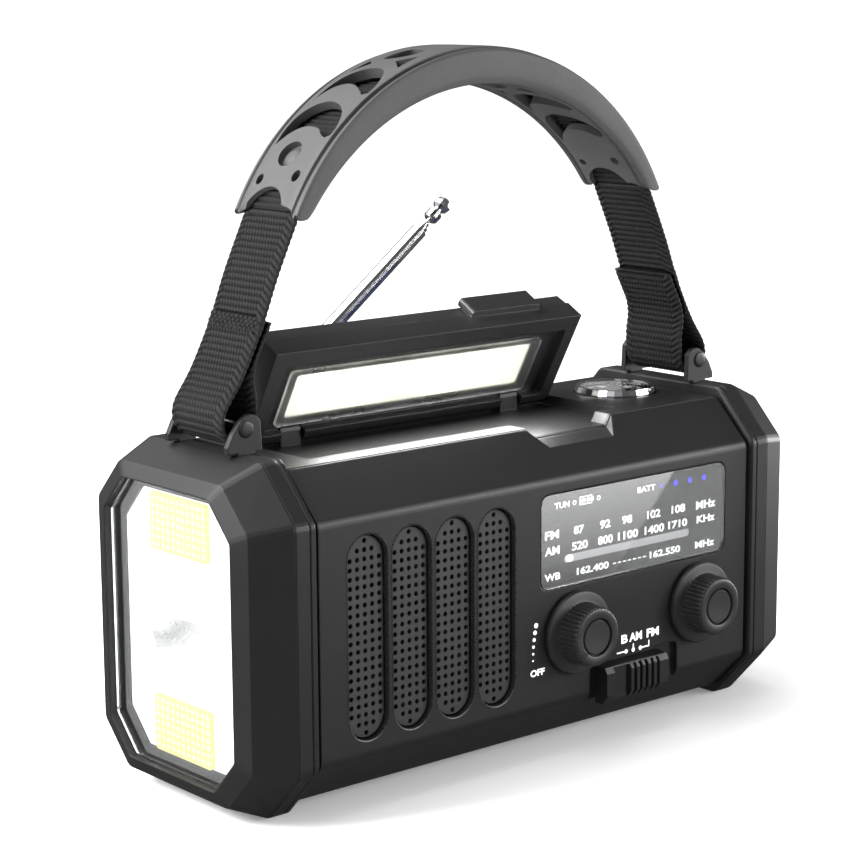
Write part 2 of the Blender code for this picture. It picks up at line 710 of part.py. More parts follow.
def tuning_shaft():
    """Shaft with the grooved drum that winds the dial cord."""
    x, z = TUNING_XZ
    profile = [(0.0, -38.2), (2.3, -38.2), (2.3, -27.6), (DRUM_R + 0.8, -27.6), (DRUM_R, -26.8),
               (DRUM_R, -26.2), (DRUM_R + 0.8, -25.4), (2.3, -25.4), (2.3, -20.4), (0.0, -20.4)]
    shaft = lathe("tuning_shaft", profile, "Y", (x, 0, z), 20)
    move_origin(shaft, (x, -26.5, z))
    return grey_acetal(shaft)


def tuning_capacitor():
    x, z = TUNING_XZ
    body = box("tuning_capacitor", (x - 9.0, x + 9.0), (-24.0, -18.4), (z - 9.0, z + 9.0))
    cut(body, cylinder("bore", 2.6, "Y", (x, 0, z), -26, -20.0, 14))
    return paint(body, "tuning_capacitor_case", (0.75, 0.75, 0.72), 0.4)


def volume_pot():
    x, z = VOLUME_XZ
    body = cylinder("volume_pot", 8.0, "Y", (x, 0, z), -27.6, -18.4, 20)
    cut(body, cylinder("bore", 3.3, "Y", (x, 0, z), -29.0, -21.6, 14))
    return paint(body, "volume_pot_case", (0.3, 0.26, 0.2), 0.5)


def band_switch_slider():
    """Ribbed slide key set in its recess, drawn in the middle of its travel."""
    x0, x1 = SLIDER_X
    profile = [(-31.7, SWITCH_Z[0] + 1.2), (-31.7, SWITCH_Z[1] - 1.2), (-35.0, SWITCH_Z[1] - 1.6),
               (-35.9, SWITCH_Z[1] - 3.0), (-35.9, SWITCH_Z[0] + 3.4), (-34.2, SWITCH_Z[0] + 1.2)]
    key = prism("band_switch_slider", profile, "X", x0, x1)
    for i in range(6):
        x = x0 + 7.4 + i * 2.0
        cut(key, box("groove", (x, x + 1.0), (-40, -34.6), (SWITCH_Z[0], SWITCH_Z[1] - 1.9)))
    cut(key, box("step", (x0 + 2.6, x0 + 7.4), (-40, -35.0), (SWITCH_Z[0], SWITCH_Z[1] - 1.9)))
    join(key, box("stem", (x0 + 8.7, x1 - 8.7), (-32.0, -27.6), (15.4, 17.6)))
    middle = ((x0 + x1) / 2, -31.7, 16.5)
    return satin_black(move_origin(key, middle))


def band_switch_body():
    x0, x1 = SLIDER_X
    body = box("band_switch_body", (x0 + 2.0, x1 - 2.0), (-28.6, -18.4), (12.2, 20.2))
    cut(body, box("channel", (x0 + 4.2, x1 - 3.6), (-30, -26.6), (14.9, 18.1)))
    return steel(body)


# ---------------------------------------------------------------- electronics

def main_board():
    outline = rectangle((-7.5, 58.0), (8.5, 73.5), 1.0, 3)
    board = prism("main_board", outline, "Y", -18.1, -16.5)
    return paint(board, "main_board_fr4", (0.02, 0.14, 0.05), 0.5)


def battery_pack():
    outline = []
    for cy, start in ((17.0, -90.0), (-2.0, 90.0)):
        for i in range(11):
            a = math.radians(start + 180.0 * i / 10)
            outline.append((cy + 9.4 * math.cos(a), 15.4 + 9.4 * math.sin(a)))
    pack = prism("battery_pack", outline, "X", -56.0, 9.5)
    return paint(pack, "battery_pack_sleeve", (0.08, 0.22, 0.45), 0.4)


# ---------------------------------------------------------------- lamp lid

def open_lid(obj):
    """Swing a part drawn closed up to its resting angle about the hinge."""
    a = -math.radians(LID_OPEN_DEG)
    c, s = math.cos(a), math.sin(a)
    ay, az = LID_AXIS_Y, LID_AXIS_Z
    for v in obj.data.vertices:
        y, z = v.co.y - ay, v.co.z - az
        v.co.y = ay + y * c - z * s
        v.co.z = az + y * s + z * c
    return move_origin(obj, ((LID_X[0] + LID_X[1]) / 2, LID_AXIS_Y, LID_AXIS_Z))


def lid_yz(u, t):
    """Closed-lid point: u from the hinge towards the free edge, t upwards."""
    return LID_AXIS_Y - u, LID_AXIS_Z + t


def lid_slab(name, x, u, t, radius=0.0):
    y0, y1 = LID_AXIS_Y - u[1], LID_AXIS_Y - u[0]
    outline = rectangle(x, (y0, y1), radius, 4)
    return prism(name, outline, "Z", LID_AXIS_Z + t[0], LID_AXIS_Z + t[1])


def lamp_lid():
    profile = [lid_yz(LID_REACH, -LID_UNDER), lid_yz(0.0, -LID_UNDER)]
    for i in range(1, 7):
        a = math.radians(-90.0 + 15.0 * i)
        profile.append((LID_AXIS_Y + LID_UNDER * math.cos(a), LID_AXIS_Z + LID_UNDER * math.sin(a)))
    profile += [lid_yz(-LID_BACK, 1.2), lid_yz(-LID_BACK, LID_OVER - 1.6)]
    profile += [lid_yz(-LID_BACK + 1.6, LID_OVER), lid_yz(LID_REACH - 0.8, LID_OVER)]
    profile += [lid_yz(LID_REACH - 0.5, 2.9), lid_yz(LID_REACH, 2.7)]
    lid = prism("lamp_lid", profile, "X", LID_X[0], LID_X[1])
    cut(lid, lid_slab("lamp_recess", (-54.2, 34.6), (1.4, 21.8), (-5.0, -0.9), 1.0))
    cut(lid, lid_slab("lamp_pocket", (-48.2, 26.4), (4.4, 17.4), (-5.0, 0.7), 0.8))
    cut(lid, lid_slab("panel_recess", (-53.2, 32.9), (-0.4, 23.2), (LID_OVER - 1.0, 10.0), 1.5))
    for ear in EAR_X:
        cut(lid, box("ear_slot", (ear - EAR_HALF - 0.4, ear + EAR_HALF + 0.4),
                     (LID_AXIS_Y - 3.4, LID_AXIS_Y + 6.0), (LID_AXIS_Z - 6.0, LID_AXIS_Z + 3.0)))
        cut(lid, cylinder("pin_bore", PIN_R + 0.1, "X", (0, LID_AXIS_Y, LID_AXIS_Z),
                          ear - 8.0, ear + 8.0, 12))
    tab = lid_slab("tab", (4.5, 27.2), (LID_REACH - 0.8, LID_REACH + 1.7), (1.6, 7.6), 0.9)
    join(lid, tab)
    return black_abs(open_lid(lid))


def lamp_cob():
    panel = lid_slab("lamp_cob", (-47.8, 26.0), (4.8, 17.0), (-0.4, 0.6), 0.6)
    return phosphor(open_lid(panel))


def lamp_lens():
    lens = lid_slab("lamp_lens", (-50.6, 28.8), (2.8, 18.9), (-1.8, -1.0), 1.0)
    return frosted_plastic(open_lid(lens))


def solar_panel():
    panel = lid_slab("solar_panel", (-52.9, 32.6), (-0.1, 22.9), (LID_OVER - 0.9, LID_OVER - 0.1), 1.2)
    open_lid(panel)
    return paint(panel, "solar_panel_cells", (0.01, 0.015, 0.05), 0.12)


def lid_pin(name, x):
    centre = (0, LID_AXIS_Y, LID_AXIS_Z)
    return steel(cylinder(name, PIN_R - 0.05, "X", centre, x - 7.5, x + 7.5, 12))


# ---------------------------------------------------------------- compass

def compass_housing():
    x, y = COMPASS_XY
    r = COMPASS_R
    z = 77.8
    profile = [(0.0, z), (r, z), (r, BODY_TOP + 0.4), (r - 0.5, COMPASS_TOP), (r - 1.6, COMPASS_TOP),
               (r - 1.6, 80.9), (r - 2.1, 80.9), (r - 2.1, z + 1.0), (0.0, z + 1.0)]
    housing = lathe("compass_housing", profile, "Z", (x, y, 0), 32)
    join(housing, cylinder("pivot", 0.3, "Z", (x, y, 0), z + 0.8, z + 1.7, 8))
    return silver_plating(housing)


def compass_card():
    x, y = COMPASS_XY
    z = 79.3
    profile = [(0.0, z + 0.3), (0.5, z + 0.3), (0.5, z), (7.9, z), (7.9, z + 0.6), (0.0, z + 0.9)]
    card = lathe("compass_card", profile, "Z", (x, y, 0), 28)
    move_origin(card, (x, y, z))
    return paint(card, "compass_card_print", (0.9, 0.9, 0.88), 0.4)


def compass_lens():
    x, y = COMPASS_XY
    lens = cylinder("compass_lens", COMPASS_R - 1.7, "Z", (x, y, 0), 80.95, 81.45, 32)
    return clear_plastic(lens)


# ---------------------------------------------------------------- antenna

def mast_frame(s, up, across):
    """Point at s along the raised mast, up across it and across along Y."""
    c, d = math.cos(MAST_ELEVATION), math.sin(MAST_ELEVATION)
    x, y, z = MAST_PIVOT
    return x + s * c - up * d, y + across, z + s * d + up * c


def mast_turned(name, profile, steps):
    """Solid or ring of (radius, s) points about the mast's centre line."""
    solid = profile[0][0] == 0.0 and profile[-1][0] == 0.0
    verts, index, faces = [], [], []
    for r, s in profile:
        row = []
        for i in range(1 if r == 0.0 else steps):
            a = 2 * math.pi * i / steps
            verts.append(mast_frame(s, r * math.sin(a), r * math.cos(a)))
            row.append(len(verts) - 1)
        index.append(row)
    last = len(profile) - 1 if solid else len(profile)
    for k in range(last):
        low, high = index[k], index[(k + 1) % len(profile)]
        for i in range(steps):
            j = (i + 1) % steps
            corners = [low[i % len(low)], low[j % len(low)],
                       high[j % len(high)], high[i % len(high)]]
            face = list(dict.fromkeys(corners))
            if len(face) > 2:
                faces.append(tuple(face))
    return add_object(name, verts, faces, MAST_PIVOT)


def antenna_base():
    """Swivel fork: a round foot under two cheeks that hold the mast eye."""
    x, y, z = MAST_PIVOT
    base = cylinder("antenna_base", 3.1, "Z", (x, y, 0), 76.5, 78.3, 18)
    join(base, cylinder("foot", 1.4, "Z", (x, y, 0), 68.0, 77.0, 12))
    cheek = [(x - 2.4, 77.9), (x + 2.4, 77.9)]
    for i in range(7):
        a = math.pi * i / 6
        cheek.append((x + 2.4 * math.cos(a), z + 2.4 * math.sin(a)))
    join(base, prism("cheek", cheek, "Y", y - 2.7, y - 1.5))
    join(base, prism("cheek", cheek, "Y", y + 1.5, y + 2.7))
    join(base, cylinder("pivot", 0.7, "Y", (x, 0, z), y - 2.0, y + 2.0, 10))
    move_origin(base, (x, y, 78.0))
    return chrome(base)


def antenna_tube():
    outer, inner = MAST_TUBES[0]
    profile = [(outer, 4.0), (outer, MAST_LENGTH), (inner, MAST_LENGTH), (inner, 5.0),
               (inner * 0.4, 5.0), (inner * 0.4, 4.0)]
    tube = mast_turned("antenna_tube", profile, 16)
    x, y, z = MAST_PIVOT
    eye = cylinder("eye", 1.9, "Y", (x, 0, z), y - 1.2, y + 1.2, 16)
    neck_low = [mast_frame(1.0, u, v) for u, v in ((-1.1, -1.1), (1.1, -1.1), (1.1, 1.1), (-1.1, 1.1))]
    neck_high = [mast_frame(4.4, u, v) for u, v in ((-1.1, -1.1), (1.1, -1.1), (1.1, 1.1), (-1.1, 1.1))]
    join(eye, loft("neck", [neck_low, neck_high]))
    cut(eye, cylinder("eye_bore", 0.9, "Y", (x, 0, z), y - 3, y + 3, 12))
    join(tube, eye)
    return chrome(move_origin(tube, MAST_PIVOT))


def antenna_section(name, level):
    outer, inner = MAST_TUBES[level]
    start = 5.6 + 0.8 * level
    stop = MAST_LENGTH + 1.4 * level
    profile = [(outer, start), (outer, stop), (inner, stop), (inner, start)]
    return chrome(mast_turned(name, profile, 16))


def antenna_tip():
    r = MAST_TUBES[3][0]
    start = 5.6 + 2.4
    stop = MAST_LENGTH + 4.2
    profile = [(0.0, start), (r, start), (r, stop), (1.5, stop + 0.1), (2.0, stop + 0.7),
               (2.0, stop + 2.6), (1.3, stop + 3.2), (1.3, stop + 3.8), (2.1, stop + 4.6),
               (2.3, stop + 5.7), (1.9, stop + 6.8), (1.0, stop + 7.4), (0.0, stop + 7.5)]
    return chrome(mast_turned("antenna_tip", profile, 14))


# ---------------------------------------------------------------- crank train

def gear_outline(centre, teeth, phase_deg=0.0):
    """Plain trapezoid teeth with running clearance at the given phase."""
    cx, cz = centre
    pitch = GEAR_MODULE * teeth / 2
    tip, root = pitch + 0.75 * GEAR_MODULE, pitch - 1.1 * GEAR_MODULE
    step = 2 * math.pi / teeth
    outline = []
    for i in range(teeth):
        a = math.radians(phase_deg) + i * step
        for r, off in ((root, -0.29), (tip, -0.11), (tip, 0.11), (root, 0.29)):
            angle = a + off * step
            outline.append((cx + r * math.cos(angle), cz + r * math.sin(angle)))
    return outline


def crank_gear():
    x, z = CRANK_XZ
    gear = prism("crank_gear", gear_outline((x, z), GEAR_TEETH), "Y", *STAGE_ONE_Y)
    join(gear, cylinder("shaft", 3.3, "Y", (x, 0, z), 21.0, 36.6, 18))
    move_origin(gear, (x, 30.0, z))
    return grey_acetal(gear)


def idler_gear():
    z = CRANK_XZ[1]
    phase = 180.0 / IDLER_SMALL_TEETH
    small = gear_outline((IDLER_X, z), IDLER_SMALL_TEETH, phase)
    large = gear_outline((IDLER_X, z), IDLER_LARGE_TEETH)
    gear = prism("idler_gear", large, "Y", *STAGE_TWO_Y)
    join(gear, prism("small", small, "Y", STAGE_TWO_Y[1] - 0.5, STAGE_ONE_Y[1]))
    cut(gear, cylinder("bore", 1.65, "Y", (IDLER_X, 0, z), 10, 30, 14))
    move_origin(gear, (IDLER_X, 19.0, z))
    return grey_acetal(gear)


def generator_rotor():
    z = CRANK_XZ[1]
    outline = gear_outline((ROTOR_X, z), ROTOR_TEETH, 180.0 / ROTOR_TEETH)
    rotor = prism("generator_rotor", outline, "Y", *STAGE_TWO_Y)
    join(rotor, cylinder("shaft", 1.1, "Y", (ROTOR_X, 0, z), -4.0, 17.0, 10))
    move_origin(rotor, (ROTOR_X, 10.0, z))
    return steel(rotor)


def generator_body():
    z = CRANK_XZ[1]
    profile = [(0.0, -6.0), (9.5, -6.0), (10.5, -5.0), (10.5, 11.0), (4.0, 11.0), (4.0, 12.6), (0.0, 12.6)]
    body = lathe("generator_body", profile, "Y", (ROTOR_X, 0, z), 24)
    cut(body, cylinder("bore", 1.5, "Y", (ROTOR_X, 0, z), -4.6, 20, 12))
    return steel(body)


def crank_arm():
    x, z = CRANK_XZ
    tip = x - CRANK_ARM
    outline = rectangle((tip - 5.0, x + 8.0), (z - 6.5, z + 6.5), 6.4, 6)
    arm = prism("crank_arm", outline, "Y", 33.4, 38.4)
    cut(arm, box("slot", (tip - 2.6, x - 8.0), (30, 45), (z - 3.9, z + 3.9)))
    cut(arm, cylinder("hinge_bore", 1.25, "Z", (tip + 1.2, 36.0, 0), z - 5.8, z + 5.8, 12))
    cut(arm, cylinder("shaft_bore", 3.6, "Y", (x, 0, z), 30.0, 36.9, 18))
    cap = [(0.0, 38.2), (4.6, 38.2), (4.6, 39.2), (4.0, 39.8), (0.0, 39.8)]
    join(arm, lathe("cap", cap, "Y", (x, 0, z), 20))
    move_origin(arm, (x, 36.0, z))
    return black_abs(arm)


def crank_peg():
    """Hinged peg that folds into the arm; the handle turns on it."""
    x = CRANK_XZ[0] - CRANK_ARM + 1.2
    z = CRANK_XZ[1]
    peg = cylinder("crank_peg", 2.2, "Z", (x, 36.0, 0), z - 3.5, z + 3.5, 16)
    join(peg, cylinder("pins", 1.0, "Z", (x, 36.0, 0), z - 5.5, z + 5.5, 10))
    join(peg, cylinder("rod", 1.4, "X", (0, 37.0, z), x + 0.5, x + 22.0, 12))
    move_origin(peg, (x, 36.0, z))
    return steel(peg)


def crank_handle():
    x = CRANK_XZ[0] - CRANK_ARM + 1.2
    z = CRANK_XZ[1]
    profile = [(0.0, x + 2.8), (3.1, x + 2.8), (3.6, x + 3.6), (3.6, x + 22.8), (3.1, x + 23.6),
               (0.0, x + 23.6)]
    handle = lathe("crank_handle", profile, "X", (0, 37.0, z), 20)
    cut(handle, cylinder("bore", 1.75, "X", (0, 37.0, z), x, x + 22.3, 14))
    move_origin(handle, (x + 12.0, 37.0, z))
    return satin_black(handle)


# ---------------------------------------------------------------- rear controls

def push_key(name, centre, colour):
    x, z = centre
    profile = [(0.0, 26.2), (KEY_R + 1.4, 26.2), (KEY_R + 1.4, 27.6), (KEY_R, 27.6),
               (KEY_R, 32.5), (KEY_R - 0.4, 32.9), (0.0, 32.9)]
    key = lathe(name, profile, "Y", (x, 0, z), 20)
    move_origin(key, (x, 32.9, z))
    return paint(key, name + "_plastic", colour, 0.5)


def port_cover():
    """Soft flap over the sockets, hinged along its lower edge."""
    outline = rectangle((PORT_X[0] + 0.4, PORT_X[1] - 0.4), (PORT_Z[0] + 0.4, PORT_Z[1] - 0.4), 1.6)
    flap = prism("port_cover", outline, "Y", 31.7, 32.9)
    lip = rectangle((42.0, 50.0), (PORT_Z[1] - 2.4, PORT_Z[1] - 1.4))
    join(flap, prism("lip", lip, "Y", 32.5, 33.1))
    move_origin(flap, (46.0, 32.9, PORT_Z[0] + 0.4))
    return paint(flap, "port_cover_silicone", (0.02, 0.02, 0.022), 0.8)


def port_block():
    block = box("port_block", (37.0, 55.0), (20.0, 30.2), (18.2, 24.8))
    usb = rectangle((38.2, 46.2), (19.6, 23.4), 0.4, 3)
    cut(block, prism("usb", usb, "Y", 22.0, 32.0))
    cut(block, cylinder("jack", 1.8, "Y", (51.0, 0, 21.5), 21.0, 32.0, 14))
    return steel(block)


# ---------------------------------------------------------------- handle

def ribbon(path, thickness):
    """Closed outline that follows a path with a constant thickness."""
    left, right = [], []
    last = len(path) - 1
    for i, (x, z) in enumerate(path):
        ax, az = path[max(i - 1, 0)]
        bx, bz = path[min(i + 1, last)]
        length = math.hypot(bx - ax, bz - az)
        nx, nz = -(bz - az) / length, (bx - ax) / length
        left.append((x + nx * thickness / 2, z + nz * thickness / 2))
        right.append((x - nx * thickness / 2, z - nz * thickness / 2))
    return left + right[::-1]


def curve_points(knots, steps):
    """Smooth path through the knots (Catmull-Rom)."""
    out = []
    for i in range(len(knots) - 1):
        p0 = knots[max(i - 1, 0)]
        p1, p2 = knots[i], knots[i + 1]
        p3 = knots[min(i + 2, len(knots) - 1)]
        for k in range(steps):
            t = k / steps
            out.append(tuple(
                0.5 * (2 * b + (c - a) * t + (2 * a - 5 * b + 4 * c - d) * t * t
                       + (3 * b - a - 3 * c + d) * t ** 3)
                for a, b, c, d in zip(p0, p1, p2, p3)))
    out.append(knots[-1])
    return out


def strap_path():
    """Left strap centre line from the grip, round the bar and back up."""
    outer = [STRAP_TOP, (-62.3, 120.6), (-66.8, 109.6), (-72.2, 99.2), (-76.9, 92.4), (-77.8, LOOP_Z)]
    path = curve_points(outer, 4)
    for i in range(1, 9):
        a = math.radians(180.0 + 180.0 * i / 8)
        path.append((-BAR_X + LOOP_R * math.cos(a), LOOP_Z + LOOP_R * math.sin(a)))
    inner = [path[-1], (-68.6, 94.0), (-69.2, 98.2), (-68.6, 102.2), (-66.9, 105.6), (-65.1, 109.0),
             (-64.2, 110.9)]
    return path + curve_points(inner, 2)[1:]


def strap(name, side):
    """Webbing looped round the lug bar and sewn back onto itself."""
    layers = ribbon(strap_path(), WEB_T)
    seam = ribbon([(-69.0, 103.2), (-67.5, 106.1), (-65.9, 109.2)], WEB_T)
    web = prism(name, [(-side * x, z) for x, z in layers], "Y", -WEB_HALF_Y, WEB_HALF_Y)
    join(web, prism("seam", [(-side * x, z) for x, z in seam], "Y", -WEB_HALF_Y + 0.2, WEB_HALF_Y - 0.2))
    return black_webbing(move_origin(web, (side * BAR_X, 0.0, BAR_Z)))


def arc_xz(centre_z, radius, x0, x1, steps):
    a0 = math.asin(x0 / radius)
    a1 = math.asin(x1 / radius)
    points = []
    for i in range(steps + 1):
        a = a0 + (a1 - a0) * i / steps
        points.append((radius * math.sin(a), centre_z + radius * math.cos(a)))
    return points


def strap_core():
    """Webbing that runs through the grip between its two mouths."""
    mid = (GRIP_TOP_Z + GRIP_LOW_Z) / 2
    path = arc_xz(mid, GRIP_R, -56.2, 56.2, 24)
    web = prism("strap_core", ribbon(path, 1.2), "Y", -9.6, 9.6)
    return black_webbing(move_origin(web, (STRAP_TOP[0], 0.0, STRAP_TOP[1])))


def radial_cutter(name, outline):
    """Cutter for an opening drawn as (degrees from the apex, y)."""
    mid = (GRIP_TOP_Z + GRIP_LOW_Z) / 2
    rings = []
    for r in (54.0, 76.0):
        ring = []
        for deg, y in outline:
            a = math.radians(deg)
            ring.append((r * math.sin(a), y, mid + r * math.cos(a)))
        rings.append(ring)
    return loft(name, rings)


def grip_openings():
    """Openings of one half of the grip: mouth, two ovals and the blades."""
    mouth = [(70.0, -7.0), (62.6, -6.8), (59.9, -5.4), (58.4, -2.8), (58.0, 0.0),
             (58.4, 2.8), (59.9, 5.4), (62.6, 6.8), (70.0, 7.0)]
    ovals = []
    for y in (-6.6, 6.6):
        ovals.append([(56.0 + 1.6 * math.cos(math.radians(a)), y + 1.2 * math.sin(math.radians(a)))
                      for a in range(0, 360, 60)])
    big = [(48.0, 8.6), (44.4, 8.6), (40.2, 7.4), (37.2, 4.8), (35.8, 0.0)]
    big += [(d, -y) for d, y in big[-2::-1]]
    big += [(46.2, -6.2), (44.2, -3.6), (43.2, 0.0), (44.2, 3.6), (46.2, 6.2)]
    small = [(34.6, 7.8), (30.6, 7.8), (26.0, 6.2), (23.4, 3.6), (22.5, 0.0)]
    small += [(d, -y) for d, y in small[-2::-1]]
    small += [(32.5, -6.2), (30.2, -3.8), (29.3, 0.0), (30.2, 3.8), (32.5, 6.2)]
    blade = [(17.0, 0.0), (14.0, -3.2), (10.6, -2.4), (9.4, 0.0), (10.6, 2.4), (14.0, 3.2)]
    corners = [[(21.8, s * 6.9), (18.2, s * 3.4), (15.0, s * 6.7)] for s in (-1, 1)]
    return [mouth, big, small, blade] + ovals + corners


def grip():
    outer_x = math.sqrt(GRIP_R ** 2 - (GRIP_END_Z - GRIP_TOP_Z) ** 2)
    inner_x = math.sqrt(GRIP_R ** 2 - (GRIP_END_Z - GRIP_LOW_Z) ** 2)
    outer = arc_xz(GRIP_TOP_Z, GRIP_R, -outer_x, outer_x, 24)
    inner = arc_xz(GRIP_LOW_Z, GRIP_R, inner_x, -inner_x, 20)
    top = outer + inner
    soft = 1.1
    levels = ((-GRIP_HALF_Y, soft), (-GRIP_HALF_Y + soft, 0.0),
              (GRIP_HALF_Y - soft, 0.0), (GRIP_HALF_Y, soft))
    rings = []
    for y, inset in levels:
        ring = []
        for i, (x, z) in enumerate(top):
            centre = GRIP_TOP_Z if i < len(outer) else GRIP_LOW_Z
            sign = -1 if i < len(outer) else 1
            r = math.hypot(x, z - centre)
            ring.append((x * (1 + sign * inset / r), y, centre + (z - centre) * (1 + sign * inset / r)))
        rings.append(ring)
    arch = loft("grip", rings)
    mid = (GRIP_TOP_Z + GRIP_LOW_Z) / 2
    tunnel = ribbon(arc_xz(mid, GRIP_R, -62.0, 62.0, 22), 1.9)
    cut(arch, prism("tunnel", tunnel, "Y", -10.3, 10.3))
    for outline in grip_openings():
        for side in (-1, 1):
            cut(arch, radial_cutter("opening", [(side * deg, y) for deg, y in outline]))
    move_origin(arch, (STRAP_TOP[0], 0.0, STRAP_TOP[1]))
    return grey_rubber(arch)


# ---------------------------------------------------------------- assembly

def build():
    clear_scene()
    front_shell()
    rear_shell()
    top_deck()
    for name, side in (("left", -1), ("right", 1)):
        end_ring("end_ring_" + name, side)
        strap_bar("strap_bar_" + name, side)
        strap("strap_" + name, side)
    torch_bezel()
    torch_lens()
    torch_panel()
    torch_cob("torch_cob_upper", 1)
    torch_cob("torch_cob_lower", -1)
    torch_reflector()
    torch_led()
    end_cap()
    speaker_grille()
    speaker_basket()
    speaker_cone()
    dial_window()
    dial_scale()
    dial_pointer()
    led_bar()
    knob("volume_knob", VOLUME_XZ, 225.0)
    knob("tuning_knob", TUNING_XZ, 0)
    tuning_shaft()
    tuning_capacitor()
    volume_pot()
    band_switch_slider()
    band_switch_body()
    main_board()
    battery_pack()
    lamp_lid()
    lamp_cob()
    lamp_lens()
    solar_panel()
    lid_pin("lid_pin_left", EAR_X[0])
    lid_pin("lid_pin_right", EAR_X[1])
    compass_housing()
    compass_card()
    compass_lens()
    antenna_base()
    antenna_tube()
    antenna_section("antenna_section_2", 1)
    antenna_section("antenna_section_3", 2)
    antenna_tip()
    crank_gear()
    idler_gear()
    generator_rotor()
    generator_body()
    crank_arm()
    crank_peg()
    crank_handle()
    push_key("torch_key", TORCH_KEY_XZ, (0.3, 0.31, 0.32))
    push_key("alarm_key", ALARM_KEY_XZ, (0.55, 0.05, 0.03))
    port_cover()
    port_block()
    strap_core()
    grip()


build()
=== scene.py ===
"""Looks for the emergency radio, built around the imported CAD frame."""

import math

import bmesh
import bpy
from mathutils import Matrix, Vector
from mathutils.geometry import delaunay_2d_cdt


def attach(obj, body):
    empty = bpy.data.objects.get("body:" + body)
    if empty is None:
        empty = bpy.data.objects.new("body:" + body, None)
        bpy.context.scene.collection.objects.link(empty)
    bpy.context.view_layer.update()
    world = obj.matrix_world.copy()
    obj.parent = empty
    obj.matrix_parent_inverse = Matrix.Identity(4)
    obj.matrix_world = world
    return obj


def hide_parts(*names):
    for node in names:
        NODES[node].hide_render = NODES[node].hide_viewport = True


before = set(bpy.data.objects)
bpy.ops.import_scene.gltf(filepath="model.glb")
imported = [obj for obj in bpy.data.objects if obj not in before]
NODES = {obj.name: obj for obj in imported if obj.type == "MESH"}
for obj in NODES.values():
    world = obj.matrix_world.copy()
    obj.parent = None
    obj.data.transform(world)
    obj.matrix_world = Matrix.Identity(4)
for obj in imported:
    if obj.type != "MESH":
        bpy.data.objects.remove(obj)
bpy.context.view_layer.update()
MM = 0.001
BODY = "radio_body"

# places and sizes in millimetres, in the frame of the CAD
MID_Z = 41.15
GRIP_R = 64.7
GRIP_TOP_Z = 106.3
GRIP_LOW_Z = 97.1
GRIP_HIGH = 9.2
GRIP_END_Z = 133.3
UNDER_SCALE = 0.857
STRAP_TOP = (-57.0, 131.9)
BAR_X = 73.3
BAR_Z = 88.0
LOOP_R = 4.5
LOOP_Z = 89.3
WEB_HALF_Y = 9.9
WEB_ROW = 1.55
WEB_CORD = 1.1
SEAM_S = 26.8
SEAM_HALF = 1.7
SELVEDGE = 2.3
SLOT_FIRST_X = -55.5
SLOT_STEP = 12.95
SLOT_COUNT = 4
DIAL_FACE_Y = -32.07
FRONT_FACE_Y = -32.96
WINDOW_FACE_Y = -32.9
PRINT_THICK = 0.04
COB_OFFSET_Z = 24.0

# the photograph's viewing angle, in radians, and the camera's place in metres
CAMERA_YAW = 0.70167
CAMERA_PITCH = -0.185893
CAMERA_ROLL = -0.006535
CAMERA_PLACE = (-0.376645, -0.433776, 0.185641)
CAMERA_LENS = 99.58
# the camera's place mirrored in the dial window, in millimetres
MIRRORED_EYE = (-376.65, 367.98, 185.64)


# ---------------------------------------------------------------- mesh helpers

def link_new(name, mesh):
    obj = bpy.data.objects.new(name, mesh)
    bpy.context.scene.collection.objects.link(obj)
    return obj


def clean_normals(mesh, distance):
    """Join vertices closer than the distance and turn all faces outwards."""
    bm = bmesh.new()
    bm.from_mesh(mesh)
    bmesh.ops.remove_doubles(bm, verts=bm.verts, dist=distance)
    bmesh.ops.recalc_face_normals(bm, faces=bm.faces)
    bm.to_mesh(mesh)
    bm.free()


def upright(a, b, depth):
    """A point of an outline drawn in XZ, at a depth along Y."""
    return (a, depth, b)


